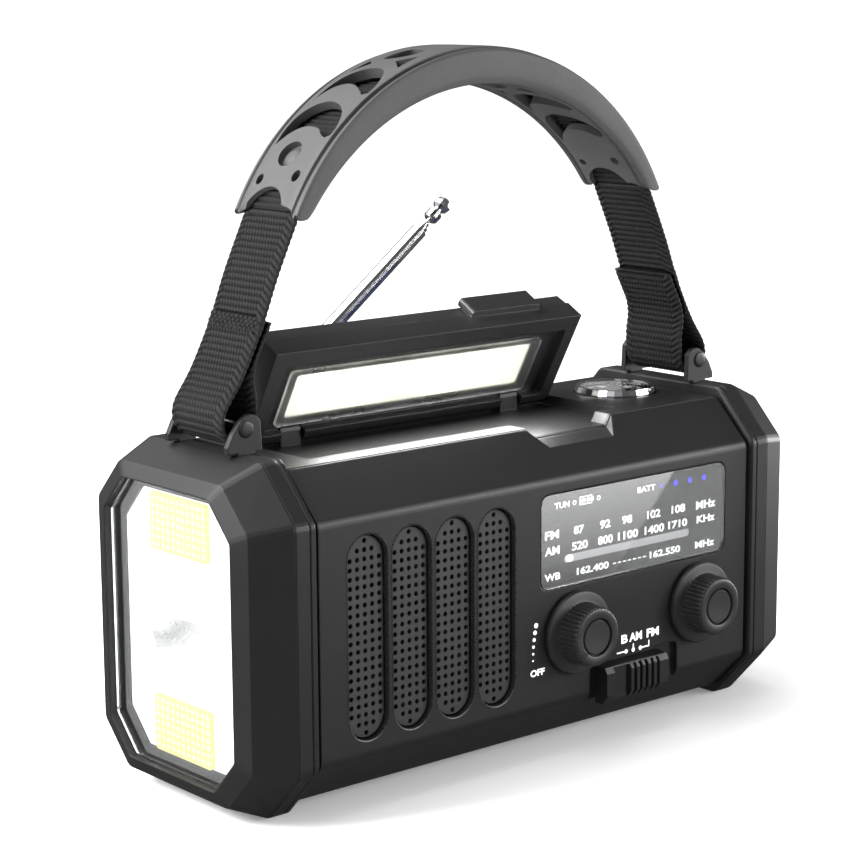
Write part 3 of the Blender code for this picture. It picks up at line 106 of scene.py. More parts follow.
class Shape:
    """Vertices and faces of several parts that become one piece."""

    def __init__(self):
        self.verts = []
        self.faces = []

    def add(self, verts, faces):
        base = len(self.verts)
        self.verts += verts
        self.faces += [tuple(base + i for i in face) for face in faces]

    def rings(self, rings, caps=True):
        """Skin closed rings of equal length, with a face over each end if caps."""
        count = len(rings[0])
        verts = [p for ring in rings for p in ring]
        faces = []
        for level in range(len(rings) - 1):
            for i in range(count):
                a = level * count + i
                b = level * count + (i + 1) % count
                faces.append((a, b, b + count, a + count))
        if caps:
            faces.append(tuple(range(count))[::-1])
            top = (len(rings) - 1) * count
            faces.append(tuple(range(top, top + count)))
        self.add(verts, faces)

    def lathe(self, profile, centre, axis, steps=48, shape=None):
        """Turn (radius, along) pairs about an axis through the centre."""
        cx, cy, cz = centre
        rings = []
        for row, (radius, along) in enumerate(profile):
            ring = []
            for i in range(steps):
                a = 2 * math.pi * i / steps
                r = radius if shape is None else radius - shape(row, a)
                c, s = r * math.cos(a), r * math.sin(a)
                if axis == "X":
                    ring.append((along, cy + c, cz + s))
                elif axis == "Y":
                    ring.append((cx + c, along, cz + s))
                else:
                    ring.append((cx + c, cy + s, along))
            rings.append(ring)
        self.rings(rings)

    def plate(self, outline, holes, low, high, lift):
        """A flat plate with holes. lift turns (a, b, depth) into a point."""
        loops = [outline] + holes
        points, outlines = [], []
        for loop in loops:
            outlines.append(list(range(len(points), len(points) + len(loop))))
            points += [Vector(p) for p in loop]
        flat, _, faces, _, _, _ = delaunay_2d_cdt(points, [], outlines, 2, 1e-6)
        front = [lift(p.x, p.y, low) for p in flat]
        back = [lift(p.x, p.y, high) for p in flat]
        count = len(flat)
        self.add(front + back,
                 [tuple(f) for f in faces] + [tuple(count + i for i in f[::-1]) for f in faces])
        for loop in loops:
            self.rings([[lift(a, b, low) for a, b in loop], [lift(a, b, high) for a, b in loop]],
                       caps=False)

    def piece(self, name, material, body, slot, sharp=None):
        """One piece in metres, riding on a CAD body. sharp is the crease angle in degrees."""
        mesh = bpy.data.meshes.new(name)
        mesh.from_pydata([(x * MM, y * MM, z * MM) for x, y, z in self.verts], [], self.faces)
        mesh.materials.append(material)
        clean_normals(mesh, 2e-7)
        mesh.shade_smooth()
        if sharp is not None:
            mesh.set_sharp_from_angle(angle=math.radians(sharp))
        obj = link_new(name, mesh)
        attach(obj, body)
        return obj


def ellipse(cx, cy, rx, ry, steps=20):
    turns = [2 * math.pi * i / steps for i in range(steps)]
    return [(cx + rx * math.cos(a), cy + ry * math.sin(a)) for a in turns]


def stadium(cx, z0, z1, r, steps=12):
    """Upright slot shape with round ends."""
    top = [(cx + r * math.cos(math.pi * i / steps), z1 - r + r * math.sin(math.pi * i / steps))
           for i in range(steps + 1)]
    return top + [(2 * cx - a, z0 + z1 - b) for a, b in top]


def round_rect(x, z, r, steps=5):
    """Rectangle over the ranges x and z, with corners of radius r."""
    out = []
    for cx, cz, start in ((x[1] - r, z[1] - r, 0), (x[0] + r, z[1] - r, 90),
                          (x[0] + r, z[0] + r, 180), (x[1] - r, z[0] + r, 270)):
        for i in range(steps + 1):
            a = math.radians(start + 90.0 * i / steps)
            out.append((cx + r * math.cos(a), cz + r * math.sin(a)))
    return out


def spline(knots, steps, closed=False):
    """Smooth path through the knots (Catmull-Rom)."""
    out = []
    count = len(knots)
    for i in range(count if closed else count - 1):
        if closed:
            picks = [knots[(i + k) % count] for k in (-1, 0, 1, 2)]
        else:
            picks = [knots[max(i - 1, 0)], knots[i], knots[i + 1], knots[min(i + 2, count - 1)]]
        for k in range(steps):
            t = k / steps
            out.append(tuple(0.5 * (2 * b + (c - a) * t + (2 * a - 5 * b + 4 * c - d) * t * t
                                    + (3 * b - a - 3 * c + d) * t ** 3) for a, b, c, d in zip(*picks)))
    if not closed:
        out.append(tuple(knots[-1]))
    return out


def resample(path, step):
    """Even points along a 2D path, at about the given spacing."""
    lengths = [0.0]
    for a, b in zip(path, path[1:]):
        lengths.append(lengths[-1] + math.dist(a, b))
    count = max(2, round(lengths[-1] / step))
    out, k = [], 0
    for i in range(count + 1):
        s = lengths[-1] * i / count
        while k < len(path) - 2 and lengths[k + 1] < s:
            k += 1
        t = (s - lengths[k]) / (lengths[k + 1] - lengths[k])
        out.append((path[k][0] + (path[k + 1][0] - path[k][0]) * t,
                    path[k][1] + (path[k + 1][1] - path[k][1]) * t))
    return out


# ---------------------------------------------------------------- camera, light and floor

def make_camera():
    yaw, pitch, roll = CAMERA_YAW, CAMERA_PITCH, CAMERA_ROLL
    look = Vector((math.sin(yaw) * math.cos(pitch), math.cos(yaw) * math.cos(pitch), math.sin(pitch)))
    right = Vector((math.cos(yaw), -math.sin(yaw), 0.0))
    up = right.cross(look)
    level_x = math.cos(roll) * right + math.sin(roll) * up
    level_y = -math.sin(roll) * right + math.cos(roll) * up
    data = bpy.data.cameras.new("camera")
    data.sensor_width = 36.0
    data.lens = CAMERA_LENS
    data.clip_start = 0.01
    data.clip_end = 50.0
    camera = link_new("camera", data)
    turn = Matrix((level_x, level_y, -look)).transposed().to_4x4()
    camera.matrix_world = Matrix.Translation(CAMERA_PLACE) @ turn
    bpy.context.scene.camera = camera


def area_light(name, place, target, size, watts):
    """Rectangular light at a place in metres, aimed at the target."""
    data = bpy.data.lights.new(name, "AREA")
    data.shape = "RECTANGLE"
    data.size, data.size_y = size
    data.energy = watts
    light = link_new(name, data)
    light.location = place
    light.rotation_euler = (Vector(target) - Vector(place)).to_track_quat("-Z", "Y").to_euler()
    return light


def make_floor():
    """Pale floor that curves up into a backdrop behind the object."""
    half, front, back, radius, top, steps = 9.0, -14.0, 1.2, 0.8, 2.0, 12
    profile = [(front, 0.0), (back, 0.0)]
    for i in range(1, steps + 1):
        a = math.pi / 2 * i / steps
        profile.append((back + math.sin(a) * radius, radius - math.cos(a) * radius))
    profile.append((back + radius, top))
    s, c = math.sin(CAMERA_YAW), math.cos(CAMERA_YAW)
    verts = [(along * s + side * c, along * c - side * s, z)
             for side in (-half, half) for along, z in profile]
    count = len(profile)
    mesh = bpy.data.meshes.new("studio_floor")
    mesh.from_pydata(verts, [], [(i, i + 1, count + i + 1, count + i) for i in range(count - 1)])
    mesh.shade_smooth()
    floor = link_new("studio_floor", mesh)
    material, _, shader = new_material("studio_white")
    shader.inputs["Base Color"].default_value = (0.93, 0.93, 0.93, 1.0)
    shader.inputs["Roughness"].default_value = 0.9
    shader.inputs["Specular IOR Level"].default_value = 0.0
    shader.inputs["Emission Color"].default_value = (1.0, 1.0, 1.0, 1.0)
    shader.inputs["Emission Strength"].default_value = 0.2
    mesh.materials.append(material)
    floor.visible_glossy = False


def dial_card():
    """Light card whose reflection lies across the dial window only."""
    reach = 0.24
    corners = []
    for x, z in ((44.6, 67.5), (20.2, 40.8), (-12.0, 40.8), (-12.0, 67.5)):
        window = Vector((x, WINDOW_FACE_Y, z))
        corners.append((window + (window - Vector(MIRRORED_EYE)) * reach) * MM)
    mesh = bpy.data.meshes.new("studio_card")
    mesh.from_pydata([tuple(c) for c in corners], [], [(0, 1, 2, 3)])
    card = link_new("studio_card", mesh)
    material, tree, shader = new_material("studio_card")
    split = tree.nodes.new("ShaderNodeSeparateXYZ")
    tree.links.new(object_place(tree), split.inputs["Vector"])
    low, high = corners[1].z, corners[0].z
    tree.links.new(ramp(tree, split.outputs["Z"], 0.5, 4.2, low, high), shader.inputs["Emission Strength"])
    shader.inputs["Emission Color"].default_value = (1.0, 1.0, 1.0, 1.0)
    shader.inputs["Base Color"].default_value = (0.0, 0.0, 0.0, 1.0)
    mesh.materials.append(material)
    card.visible_camera = False
    card.visible_shadow = False
    card.visible_diffuse = False
    lit = bpy.data.collections.new("lit_by_card")
    lit.objects.link(NODES["dial_window"])
    card.light_linking.receiver_collection = lit


def make_studio():
    """World, lights, floor and the light card for the dial."""
    scene = bpy.context.scene
    scene.view_settings.view_transform = "Standard"
    world = bpy.data.worlds.new("studio")
    scene.world = world
    world.use_nodes = True
    tree = world.node_tree
    back = tree.nodes["Background"]
    back.inputs["Color"].default_value = (1.0, 1.0, 1.0, 1.0)
    # bright overhead on the left and dark on the right, as from one large window
    aim = tree.nodes.new("ShaderNodeVectorMath")
    aim.operation = "DOT_PRODUCT"
    aim.inputs[1].default_value = (-0.5, 0.3, 0.81)
    tree.links.new(tree.nodes.new("ShaderNodeTexCoord").outputs["Generated"], aim.inputs[0])
    tree.links.new(ramp(tree, aim.outputs["Value"], 0.1, 1.3, 0.35, 0.95), back.inputs["Strength"])
    area_light("key_front_right", (0.8, -0.8, 0.42), (0.0, 0.0, 0.05), (0.6, 0.2), 7.0)
    area_light("front_low", (0.62, -0.8, 0.06), (0.0, -0.03, 0.05), (0.5, 0.2), 2.2)
    area_light("right_low", (0.9, -0.12, 0.1), (0.0, 0.0, 0.05), (0.3, 0.2), 4.0)
    area_light("top", (-0.35, 0.4, 1.1), (0.0, 0.0, 0.0), (1.1, 1.1), 12.5)
    area_light("left_rim", (-0.7, 0.3, 0.55), (-0.05, 0.0, 0.12), (0.4, 0.4), 15.0)
    area_light("left_front", (-0.9, -0.45, 0.3), (-0.08, 0.0, 0.05), (0.3, 0.4), 0.6)
    lamp = area_light("lamp_glow", (-0.011, -0.006, 0.0945), (-0.011, -0.03, 0.076),
                      (0.072, 0.008), 0.11)
    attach(lamp, "lid")
    make_floor()
    dial_card()


# ---------------------------------------------------------------- materials

def new_material(name):
    material = bpy.data.materials.new(name)
    material.use_nodes = True
    tree = material.node_tree
    return material, tree, tree.nodes["Principled BSDF"]


def object_place(tree):
    return tree.nodes.new("ShaderNodeTexCoord").outputs["Object"]


def noise(tree, scale, detail=2.0):
    """Noise that is fixed to the piece, with the scale per metre."""
    node = tree.nodes.new("ShaderNodeTexNoise")
    node.inputs["Scale"].default_value = scale
    node.inputs["Detail"].default_value = detail
    tree.links.new(object_place(tree), node.inputs["Vector"])
    return node.outputs["Fac"]


def ramp(tree, source, low, high, start=0.3, stop=0.7):
    """Map the source from start..stop to low..high."""
    node = tree.nodes.new("ShaderNodeMapRange")
    node.inputs["From Min"].default_value = start
    node.inputs["From Max"].default_value = stop
    node.inputs["To Min"].default_value = low
    node.inputs["To Max"].default_value = high
    tree.links.new(source, node.inputs["Value"])
    return node.outputs["Result"]


def tint(tree, source, dark, light):
    """Mix two colours by the source."""
    node = tree.nodes.new("ShaderNodeMix")
    node.data_type = "RGBA"
    node.inputs[6].default_value = (*dark, 1.0)
    node.inputs[7].default_value = (*light, 1.0)
    tree.links.new(source, node.inputs[0])
    return node.outputs[2]


def bump(tree, shader, source, height, rounding=0.0):
    """Relief of the given height in metres, over edges rounded by rounding millimetres."""
    node = tree.nodes.new("ShaderNodeBump")
    node.inputs["Distance"].default_value = height
    node.inputs["Strength"].default_value = 1.0
    tree.links.new(source, node.inputs["Height"])
    if rounding:
        bevel = tree.nodes.new("ShaderNodeBevel")
        bevel.samples = 4
        bevel.inputs["Radius"].default_value = rounding * MM
        tree.links.new(bevel.outputs["Normal"], node.inputs["Normal"])
    tree.links.new(node.outputs["Normal"], shader.inputs["Normal"])


def moulded(name, colour, roughness, grain=0.35, height=0.02, metallic=0.0, swing=0.06, gloss=0.5,
            rounding=0.0):
    """Moulded or plated surface: fine grain with slow changes of gloss and colour."""
    material, tree, shader = new_material(name)
    fine = noise(tree, 1.0 / (grain * MM), 3.0)
    slow = noise(tree, 90.0, 3.0)
    dark = tuple(c * 0.85 for c in colour)
    light = tuple(min(1.0, c * 1.18) for c in colour)
    tree.links.new(tint(tree, slow, dark, light), shader.inputs["Base Color"])
    tree.links.new(ramp(tree, fine, roughness - swing, roughness + swing), shader.inputs["Roughness"])
    shader.inputs["Metallic"].default_value = metallic
    shader.inputs["Specular IOR Level"].default_value = gloss
    bump(tree, shader, fine, height * MM, rounding)
    return material


def glowing(name, colour, strength, albedo=1.0):
    """Surface that glows: a lamp, or print and other parts given a painted glow. albedo scales the colour
    that it shows by reflection.
    """
    material, tree, shader = new_material(name)
    slow = noise(tree, 300.0)
    light = tint(tree, slow, tuple(c * 0.94 for c in colour), colour)
    paint = tint(tree, slow, tuple(c * 0.94 * albedo for c in colour),
                 tuple(c * albedo for c in colour))
    tree.links.new(paint, shader.inputs["Base Color"])
    tree.links.new(light, shader.inputs["Emission Color"])
    shader.inputs["Emission Strength"].default_value = strength
    shader.inputs["Roughness"].default_value = 0.4
    return material


def clear(name, roughness=0.03):
    """Clear plastic with slight changes of polish."""
    material, tree, shader = new_material(name)
    shader.inputs["Base Color"].default_value = (0.97, 0.98, 0.98, 1.0)
    shader.inputs["Transmission Weight"].default_value = 1.0
    shader.inputs["IOR"].default_value = 1.49
    tree.links.new(ramp(tree, noise(tree, 60.0), roughness * 0.7, roughness * 1.3),
                   shader.inputs["Roughness"])
    return material


def webbing_material():
    """Black nylon yarn with painted shade between the cords, where ambient occlusion darkens the colour,
    and fine fibre streaks.
    """
    material, tree, shader = new_material("webbing_nylon_painted_shade")
    fibre = noise(tree, 4200.0, 2.0)
    # ambient occlusion darkens the yarn's colour in the valleys between the cords: painted shade
    valley_shade_ao = tree.nodes.new("ShaderNodeAmbientOcclusion")
    valley_shade_ao.samples = 6
    valley_shade_ao.only_local = True
    valley_shade_ao.inputs["Distance"].default_value = 0.9 * MM
    unshaded_crest = ramp(tree, valley_shade_ao.outputs["AO"], 0.0, 1.0, 0.9, 1.0)
    yarn = tint(tree, unshaded_crest, (0.0006, 0.0006, 0.0006), (0.026, 0.026, 0.026))
    tree.links.new(yarn, shader.inputs["Base Color"])
    tree.links.new(ramp(tree, fibre, 0.4, 0.65), shader.inputs["Roughness"])
    shader.inputs["Sheen Weight"].default_value = 0.01
    shader.inputs["Sheen Roughness"].default_value = 0.4
    shader.inputs["Specular IOR Level"].default_value = 0.03
    bump(tree, shader, fibre, 0.03 * MM)
    return material


def solar_material():
    """Dark blue cells with thin silver lines."""
    material, tree, shader = new_material("solar_cells")
    cells = tree.nodes.new("ShaderNodeTexBrick")
    cells.offset = 0.0
    cells.inputs["Color1"].default_value = (0.008, 0.012, 0.05, 1.0)
    cells.inputs["Color2"].default_value = (0.012, 0.016, 0.065, 1.0)
    cells.inputs["Mortar"].default_value = (0.25, 0.27, 0.3, 1.0)
    cells.inputs["Scale"].default_value = 1.0
    cells.inputs["Mortar Size"].default_value = 0.0002
    cells.inputs["Brick Width"].default_value = 0.0106
    cells.inputs["Row Height"].default_value = 0.0115
    tree.links.new(object_place(tree), cells.inputs["Vector"])
    tree.links.new(cells.outputs["Color"], shader.inputs["Base Color"])
    tree.links.new(ramp(tree, noise(tree, 500.0), 0.08, 0.16), shader.inputs["Roughness"])
    shader.inputs["Coat Weight"].default_value = 0.6
    return material


def give(material, *names):
    """Put the material on the named CAD nodes."""
    for name in names:
        node = NODES[name]
        node.data.materials.clear()
        node.data.materials.append(material)


MATS = {}


def dress_frame():
    """Materials that pieces share, and a finish for every CAD node."""
    m = MATS
    m["body"] = moulded("body_black_grained", (0.0115, 0.0115, 0.012), 0.42, 0.38, 0.03,
                        gloss=0.4, rounding=0.5)
    m["ring"] = moulded("ring_black_satin", (0.011, 0.011, 0.0115), 0.4, 0.3, 0.01,
                        gloss=0.4, rounding=0.5)
    m["control"] = moulded("control_black", (0.011, 0.011, 0.012), 0.36, 0.3, 0.006,
                           gloss=0.45, rounding=0.2)
    m["grip"] = moulded("grip_grey_soft", (0.057, 0.057, 0.059), 0.55, 0.34, 0.09,
                        gloss=0.35, rounding=0.2)
    m["web"] = webbing_material()
    m["steel"] = moulded("steel_plain", (0.5, 0.5, 0.52), 0.3, 0.6, 0.004, 1.0)
    m["chrome"] = moulded("chrome_plate", (0.72, 0.73, 0.75), 0.16, 1.5, 0.001, 1.0, 0.02)
    m["silver"] = moulded("silver_plate_bright", (0.93, 0.93, 0.94), 0.3, 0.8, 0.01, 0.75)
    m["blue"] = glowing("battery_blue_lit", (0.03, 0.02, 1.0), 2.4)
    m["blue_dim"] = glowing("battery_blue_dim", (0.02, 0.02, 0.3), 1.0)
    m["pads"] = moulded("pads_black", (0.022, 0.022, 0.023), 0.5, 0.3, 0.01, gloss=0.6)
    m["rim"] = moulded("slot_rim_black", (0.014, 0.014, 0.0145), 0.28, 0.3, 0.004, gloss=0.7)
    m["knob"] = moulded("knob_black", (0.018, 0.018, 0.019), 0.4, 0.3, 0.006, gloss=0.5)
    # the print on the dial, front and compass emits light though it is no lamp: painted glow
    m["print"] = glowing("print_white_glow", (0.95, 0.95, 0.95), 0.85, 0.8)
    # the dial strip and the pointer tip emit light though they are no lamp: painted glow
    m["strip"] = glowing("dial_strip_grey", (0.32, 0.32, 0.33), 0.8, 0.8)
    m["pointer"] = glowing("dial_pointer_tip", (0.95, 0.95, 0.95), 0.8)
    give(m["body"], "front_shell", "rear_shell", "top_deck")
    give(m["ring"], "end_ring_left", "end_ring_right", "torch_bezel", "end_cap_right", "crank_arm")
    give(moulded("lid_black_satin", (0.021, 0.021, 0.022), 0.38, 0.3, 0.01,
                 gloss=0.5, rounding=0.4), "lamp_lid")
    give(m["control"], "speaker_grille", "volume_knob", "tuning_knob", "band_switch_slider",
         "crank_handle")
    give(m["grip"], "grip")
    give(m["web"], "strap_left", "strap_right", "strap_core")
    give(m["steel"], "speaker_basket", "band_switch_body", "lid_pin_left", "lid_pin_right",
         "generator_rotor", "generator_body", "crank_peg", "port_block")
    give(m["chrome"], "antenna_base", "antenna_tube", "antenna_section_2", "antenna_section_3",
         "antenna_tip", "strap_bar_left", "strap_bar_right", "compass_housing")
    give(m["silver"], "torch_reflector")
    # the silver panel emits light in place of the LED light that falls on it: painted glow
    give(glowing("torch_panel_painted_glow", (0.95, 0.96, 0.97), 1.7, 0.4), "torch_panel")
    give(glowing("cob_yellow_lit", (1.0, 0.97, 0.36), 0.82, 0.08), "torch_cob_upper", "torch_cob_lower")
    give(glowing("torch_led_lit", (1.0, 1.0, 0.97), 12.0), "torch_led")
    give(glowing("lamp_cob_lit", (1.0, 1.0, 0.84), 1.2), "lamp_cob")
    give(clear("window_clear"), "dial_window", "torch_lens", "compass_lens")
    give(clear("diffuser", 0.35), "lamp_lens")
    give(moulded("paper_cone", (0.02, 0.02, 0.02), 0.8), "speaker_cone")
    give(moulded("dial_film", (0.006, 0.006, 0.007), 0.2, 0.4, 0.001), "dial_scale")
    give(moulded("pointer_white", (0.9, 0.9, 0.9), 0.4), "dial_pointer")
    give(m["blue_dim"], "battery_light_bar")
    give(moulded("acetal_grey", (0.4, 0.41, 0.42), 0.4), "tuning_shaft", "crank_gear", "idler_gear")
    give(moulded("case_grey", (0.5, 0.5, 0.48), 0.5), "tuning_capacitor", "volume_pot")
    give(moulded("board_green", (0.02, 0.14, 0.05), 0.5), "main_board")
    give(moulded("sleeve_blue", (0.05, 0.16, 0.38), 0.35), "battery_pack")
    give(solar_material(), "solar_panel")
    give(moulded("card_black", (0.012, 0.012, 0.014), 0.4), "compass_card")
    give(moulded("key_grey", (0.2, 0.21, 0.22), 0.45, rounding=0.3), "torch_key")
    give(moulded("key_red", (0.45, 0.03, 0.02), 0.45, rounding=0.3), "alarm_key")
    give(moulded("cover_silicone", (0.018, 0.018, 0.02), 0.7, 0.4, 0.01, rounding=0.3),
         "port_cover")


# ---------------------------------------------------------------- webbing

def bumpy(s, u):
    """Height of the weave at s along and u across the webbing, in millimetres."""
    if abs(s - SEAM_S) < SEAM_HALF:
        cross = abs(math.sin(math.pi * (u + s) / 1.7) * math.sin(math.pi * (u - s) / 1.7))
        return 0.3 + 0.55 * cross ** 0.7
    edge = abs(u) - (WEB_HALF_Y - SELVEDGE)
    if edge > 0:
        return 0.5 * abs(math.sin(math.pi * (s / WEB_ROW - edge / 2.4)))
    row = s / WEB_ROW
    level = math.floor(row)
    across = u / WEB_CORD + 0.5 * (level % 2) + 0.45 * (row - level)
    rib = abs(math.sin(math.pi * row)) ** 1.1
    cord = abs(math.sin(math.pi * across)) ** 0.9
    return 0.52 * rib * (0.3 + 0.7 * cord)


def woven_ribbon(shape, path, half_width, thickness, mirror=1, start=0.0):
    """A woven strap that follows a path in the XZ plane, closed all round."""
    rows = resample(path, WEB_ROW / 5)
    step = WEB_CORD / 4
    across = max(2, round(2 * half_width / step))
    rings = []
    last = len(rows) - 1
    s = start
    for k, (x, z) in enumerate(rows):
        ax, az = rows[max(k - 1, 0)]
        bx, bz = rows[min(k + 1, last)]
        length = math.hypot(bx - ax, bz - az)
        nx, nz = -(bz - az) / length, (bx - ax) / length
        if k:
            s += math.dist(rows[k - 1], rows[k])
        wobble = 0.12 * abs(math.sin(math.pi * s / WEB_ROW))
        ring = []
        for side in (1, -1):
            for i in range(across + 1):
                f = i / across if side == 1 else 1 - i / across
                u = -half_width + 2 * half_width * f
                edge = min(1.0, (1 - abs(2 * f - 1)) * half_width / 0.9)
                t = thickness / 2 * (0.45 + 0.55 * edge) + bumpy(s, u) * (0.5 + 0.5 * edge) - 0.24
                y = u + (wobble if u > 0 else -wobble) * (1 - edge)
                ring.append((mirror * (x + nx * t * side), y, z + nz * t * side))
        rings.append(ring)
    shape.rings(rings)


def strap_path():
    """Centre line from inside the grip, round the bar and back up to the sewn end."""
    outer = [(-55.75, 134.6), STRAP_TOP, (-62.3, 120.6), (-66.8, 109.6), (-72.2, 99.2), (-76.9, 92.4),
             (-77.8, LOOP_Z)]
    path = spline(outer, 6)
    for i in range(1, 13):
        a = math.radians(180.0 + 180.0 * i / 12)
        path.append((-BAR_X + LOOP_R * math.cos(a), LOOP_Z + LOOP_R * math.sin(a)))
    inner = [path[-1], (-68.6, 94.0), (-69.2, 98.2), (-68.6, 102.2), (-66.9, 105.6), (-65.1, 109.0),
             (-64.2, 110.9)]
    return path + spline(inner, 4)[1:]


def straps():
    """The two straps, and the webbing that runs through the grip between them."""
    path = strap_path()
    for name, mirror, body in (("webbing_left", 1, "left_strap"), ("webbing_right", -1, "right_strap")):
        shape = Shape()
        woven_ribbon(shape, path, WEB_HALF_Y, 1.5, mirror)
        strap = shape.piece(name, MATS["web"], body, "webbing")
        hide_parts("strap_left" if mirror == 1 else "strap_right")
    mid = (GRIP_TOP_Z + GRIP_LOW_Z) / 2
    arc = []
    reach = 59.4
    for i in range(121):
        a = math.radians(-reach + 2 * reach * i / 120)
        arc.append((GRIP_R * math.sin(a), mid + GRIP_R * math.cos(a)))
    shape = Shape()
    woven_ribbon(shape, arc, 9.6, 1.3, start=60.0)
    core = shape.piece("webbing_core", MATS["web"], "handle_grip", "webbing")
    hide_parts("strap_core")


# ---------------------------------------------------------------- grip

def arch_point(deg, depth, y):
    """Point on the grip: degrees from the apex, 0..1 from top to underside."""
    a = math.radians(deg)
    top = Vector((GRIP_R * math.sin(a), 0.0, GRIP_TOP_Z + GRIP_R * math.cos(a)))
    low = Vector((GRIP_R * math.sin(a), 0.0, GRIP_LOW_Z + GRIP_R * math.cos(a)))
    p = top.lerp(low, depth)
    return (p.x, y, p.z)


def skin_point(deg, depth, y, under=False):
    """Point below the top face, or above the underside, measured square to it."""
    a = math.radians(deg)
    inward = depth * GRIP_HIGH * math.cos(a)
    radius = GRIP_R + inward if under else GRIP_R - inward
    return (radius * math.sin(a), y, (GRIP_LOW_Z if under else GRIP_TOP_Z) + radius * math.cos(a))


def grip_section():
    """Cross-section as (y, distance below the top), with a groove beside each edge."""
    half = [(0.0, 0.0), (4.0, 0.0), (8.0, 0.05), (9.2, 0.12), (9.6, 0.3), (9.75, 0.7), (9.9, 1.4),
            (10.2, 1.65), (10.6, 1.6), (10.85, 1.1), (11.0, 0.72), (11.3, 0.6), (11.65, 0.75),
            (11.9, 1.1), (12.0, 1.7), (12.0, 3.2), (12.0, 5.0), (12.0, 6.8), (11.85, 7.8), (11.5, 8.5),
            (11.3, 8.9), (10.7, 8.8), (10.4, 8.4), (10.2, 7.7), (9.9, 7.6), (9.7, 8.0), (9.4, 8.6),
            (8.6, 8.8), (7.0, 8.85), (3.5, 8.9)]
    return half + [(0.0, 8.9)] + [(-y, d) for y, d in half[::-1][:-1]]


def grip_shell():
    """Arch with level ends whose corners are rounded."""
    shape = Shape()
    corner = 3.4
    rings = []
    for i in range(121):
        t = -1 + i / 60
        ring = []
        for y, d in grip_section():
            near = min(d, GRIP_HIGH - d)
            lift = corner - math.sqrt(corner ** 2 - max(0.0, corner - near) ** 2)
            centre = GRIP_TOP_Z - d
            a = t * math.acos((GRIP_END_Z + lift - centre) / GRIP_R)
            ring.append((GRIP_R * math.sin(a), y, centre + GRIP_R * math.cos(a)))
        rings.append(ring)
    shape.rings(rings)
    return shape


def opening_shapes():
    """Openings of the left half as (degrees from the apex, y)."""
    mouth = [(-70.0, -7.2), (-66.0, -6.6), (-63.2, -5.7), (-61.2, -4.6), (-59.2, -2.4), (-58.4, 0.6),
             (-58.8, 3.4), (-60.3, 6.0), (-62.4, 7.6), (-66.0, 8.2), (-70.0, 8.4)]
    big_out = [(-48.6, 8.2), (-44.7, 8.5), (-40.4, 7.7), (-37.2, 5.2), (-35.7, 1.3), (-36.6, -3.4),
               (-39.1, -7.0), (-42.6, -8.9), (-45.2, -9.0)]
    big_in = [(-45.9, -7.6), (-45.2, -5.7), (-43.7, -3.3), (-43.2, 0.4), (-43.8, 3.2), (-45.3, 5.6),
              (-47.2, 7.2)]
    small_out = [(-35.0, 7.5), (-30.6, 7.4), (-25.8, 6.1), (-22.7, 2.6), (-22.7, -2.2), (-25.2, -5.8),
                 (-29.4, -8.4), (-32.4, -8.8)]
    small_in = [(-33.0, -7.2), (-31.3, -4.4), (-29.8, -1.1), (-29.4, 2.2), (-30.7, 5.2), (-33.0, 6.8)]
    sliver = [(-24.7, 7.6), (-18.9, 6.8), (-20.4, 4.9), (-22.8, 6.6)]
    blade = [(-17.2, 4.1), (-12.6, 4.4), (-9.6, 2.6), (-9.9, -1.6), (-12.2, -3.1), (-15.0, -1.8),
             (-16.8, 1.0)]
    triangle = [(-18.5, -1.8), (-21.8, -6.9), (-15.2, -6.4)]
    return [[mouth[0]] + spline(mouth[1:-1], 4) + [mouth[-1]],
            spline(big_out, 4) + spline(big_in, 4),
            spline(small_out, 4) + spline(small_in, 4),
            sliver,
            spline(blade, 3, closed=True),
            triangle,
            ellipse(-57.0, 6.7, 1.25, 1.1, 16),
            ellipse(-55.5, -5.8, 1.35, 1.3, 16)]


def mesh_object(name, shape):
    """A passing object in millimetres, for cutting."""
    mesh = bpy.data.meshes.new(name)
    mesh.from_pydata(shape.verts, [], shape.faces)
    clean_normals(mesh, 1e-4)
    return link_new(name, mesh)


def cut_away(target, tool):
    """Take the tool's volume out of the target."""
    modifier = target.modifiers.new("cut", "BOOLEAN")
    modifier.operation = "DIFFERENCE"
    modifier.solver = "EXACT"
    modifier.object = tool
    graph = bpy.context.evaluated_depsgraph_get()
    result = bpy.data.meshes.new_from_object(target.evaluated_get(graph))
    target.modifiers.clear()
    target.data = result
    bpy.data.objects.remove(tool)


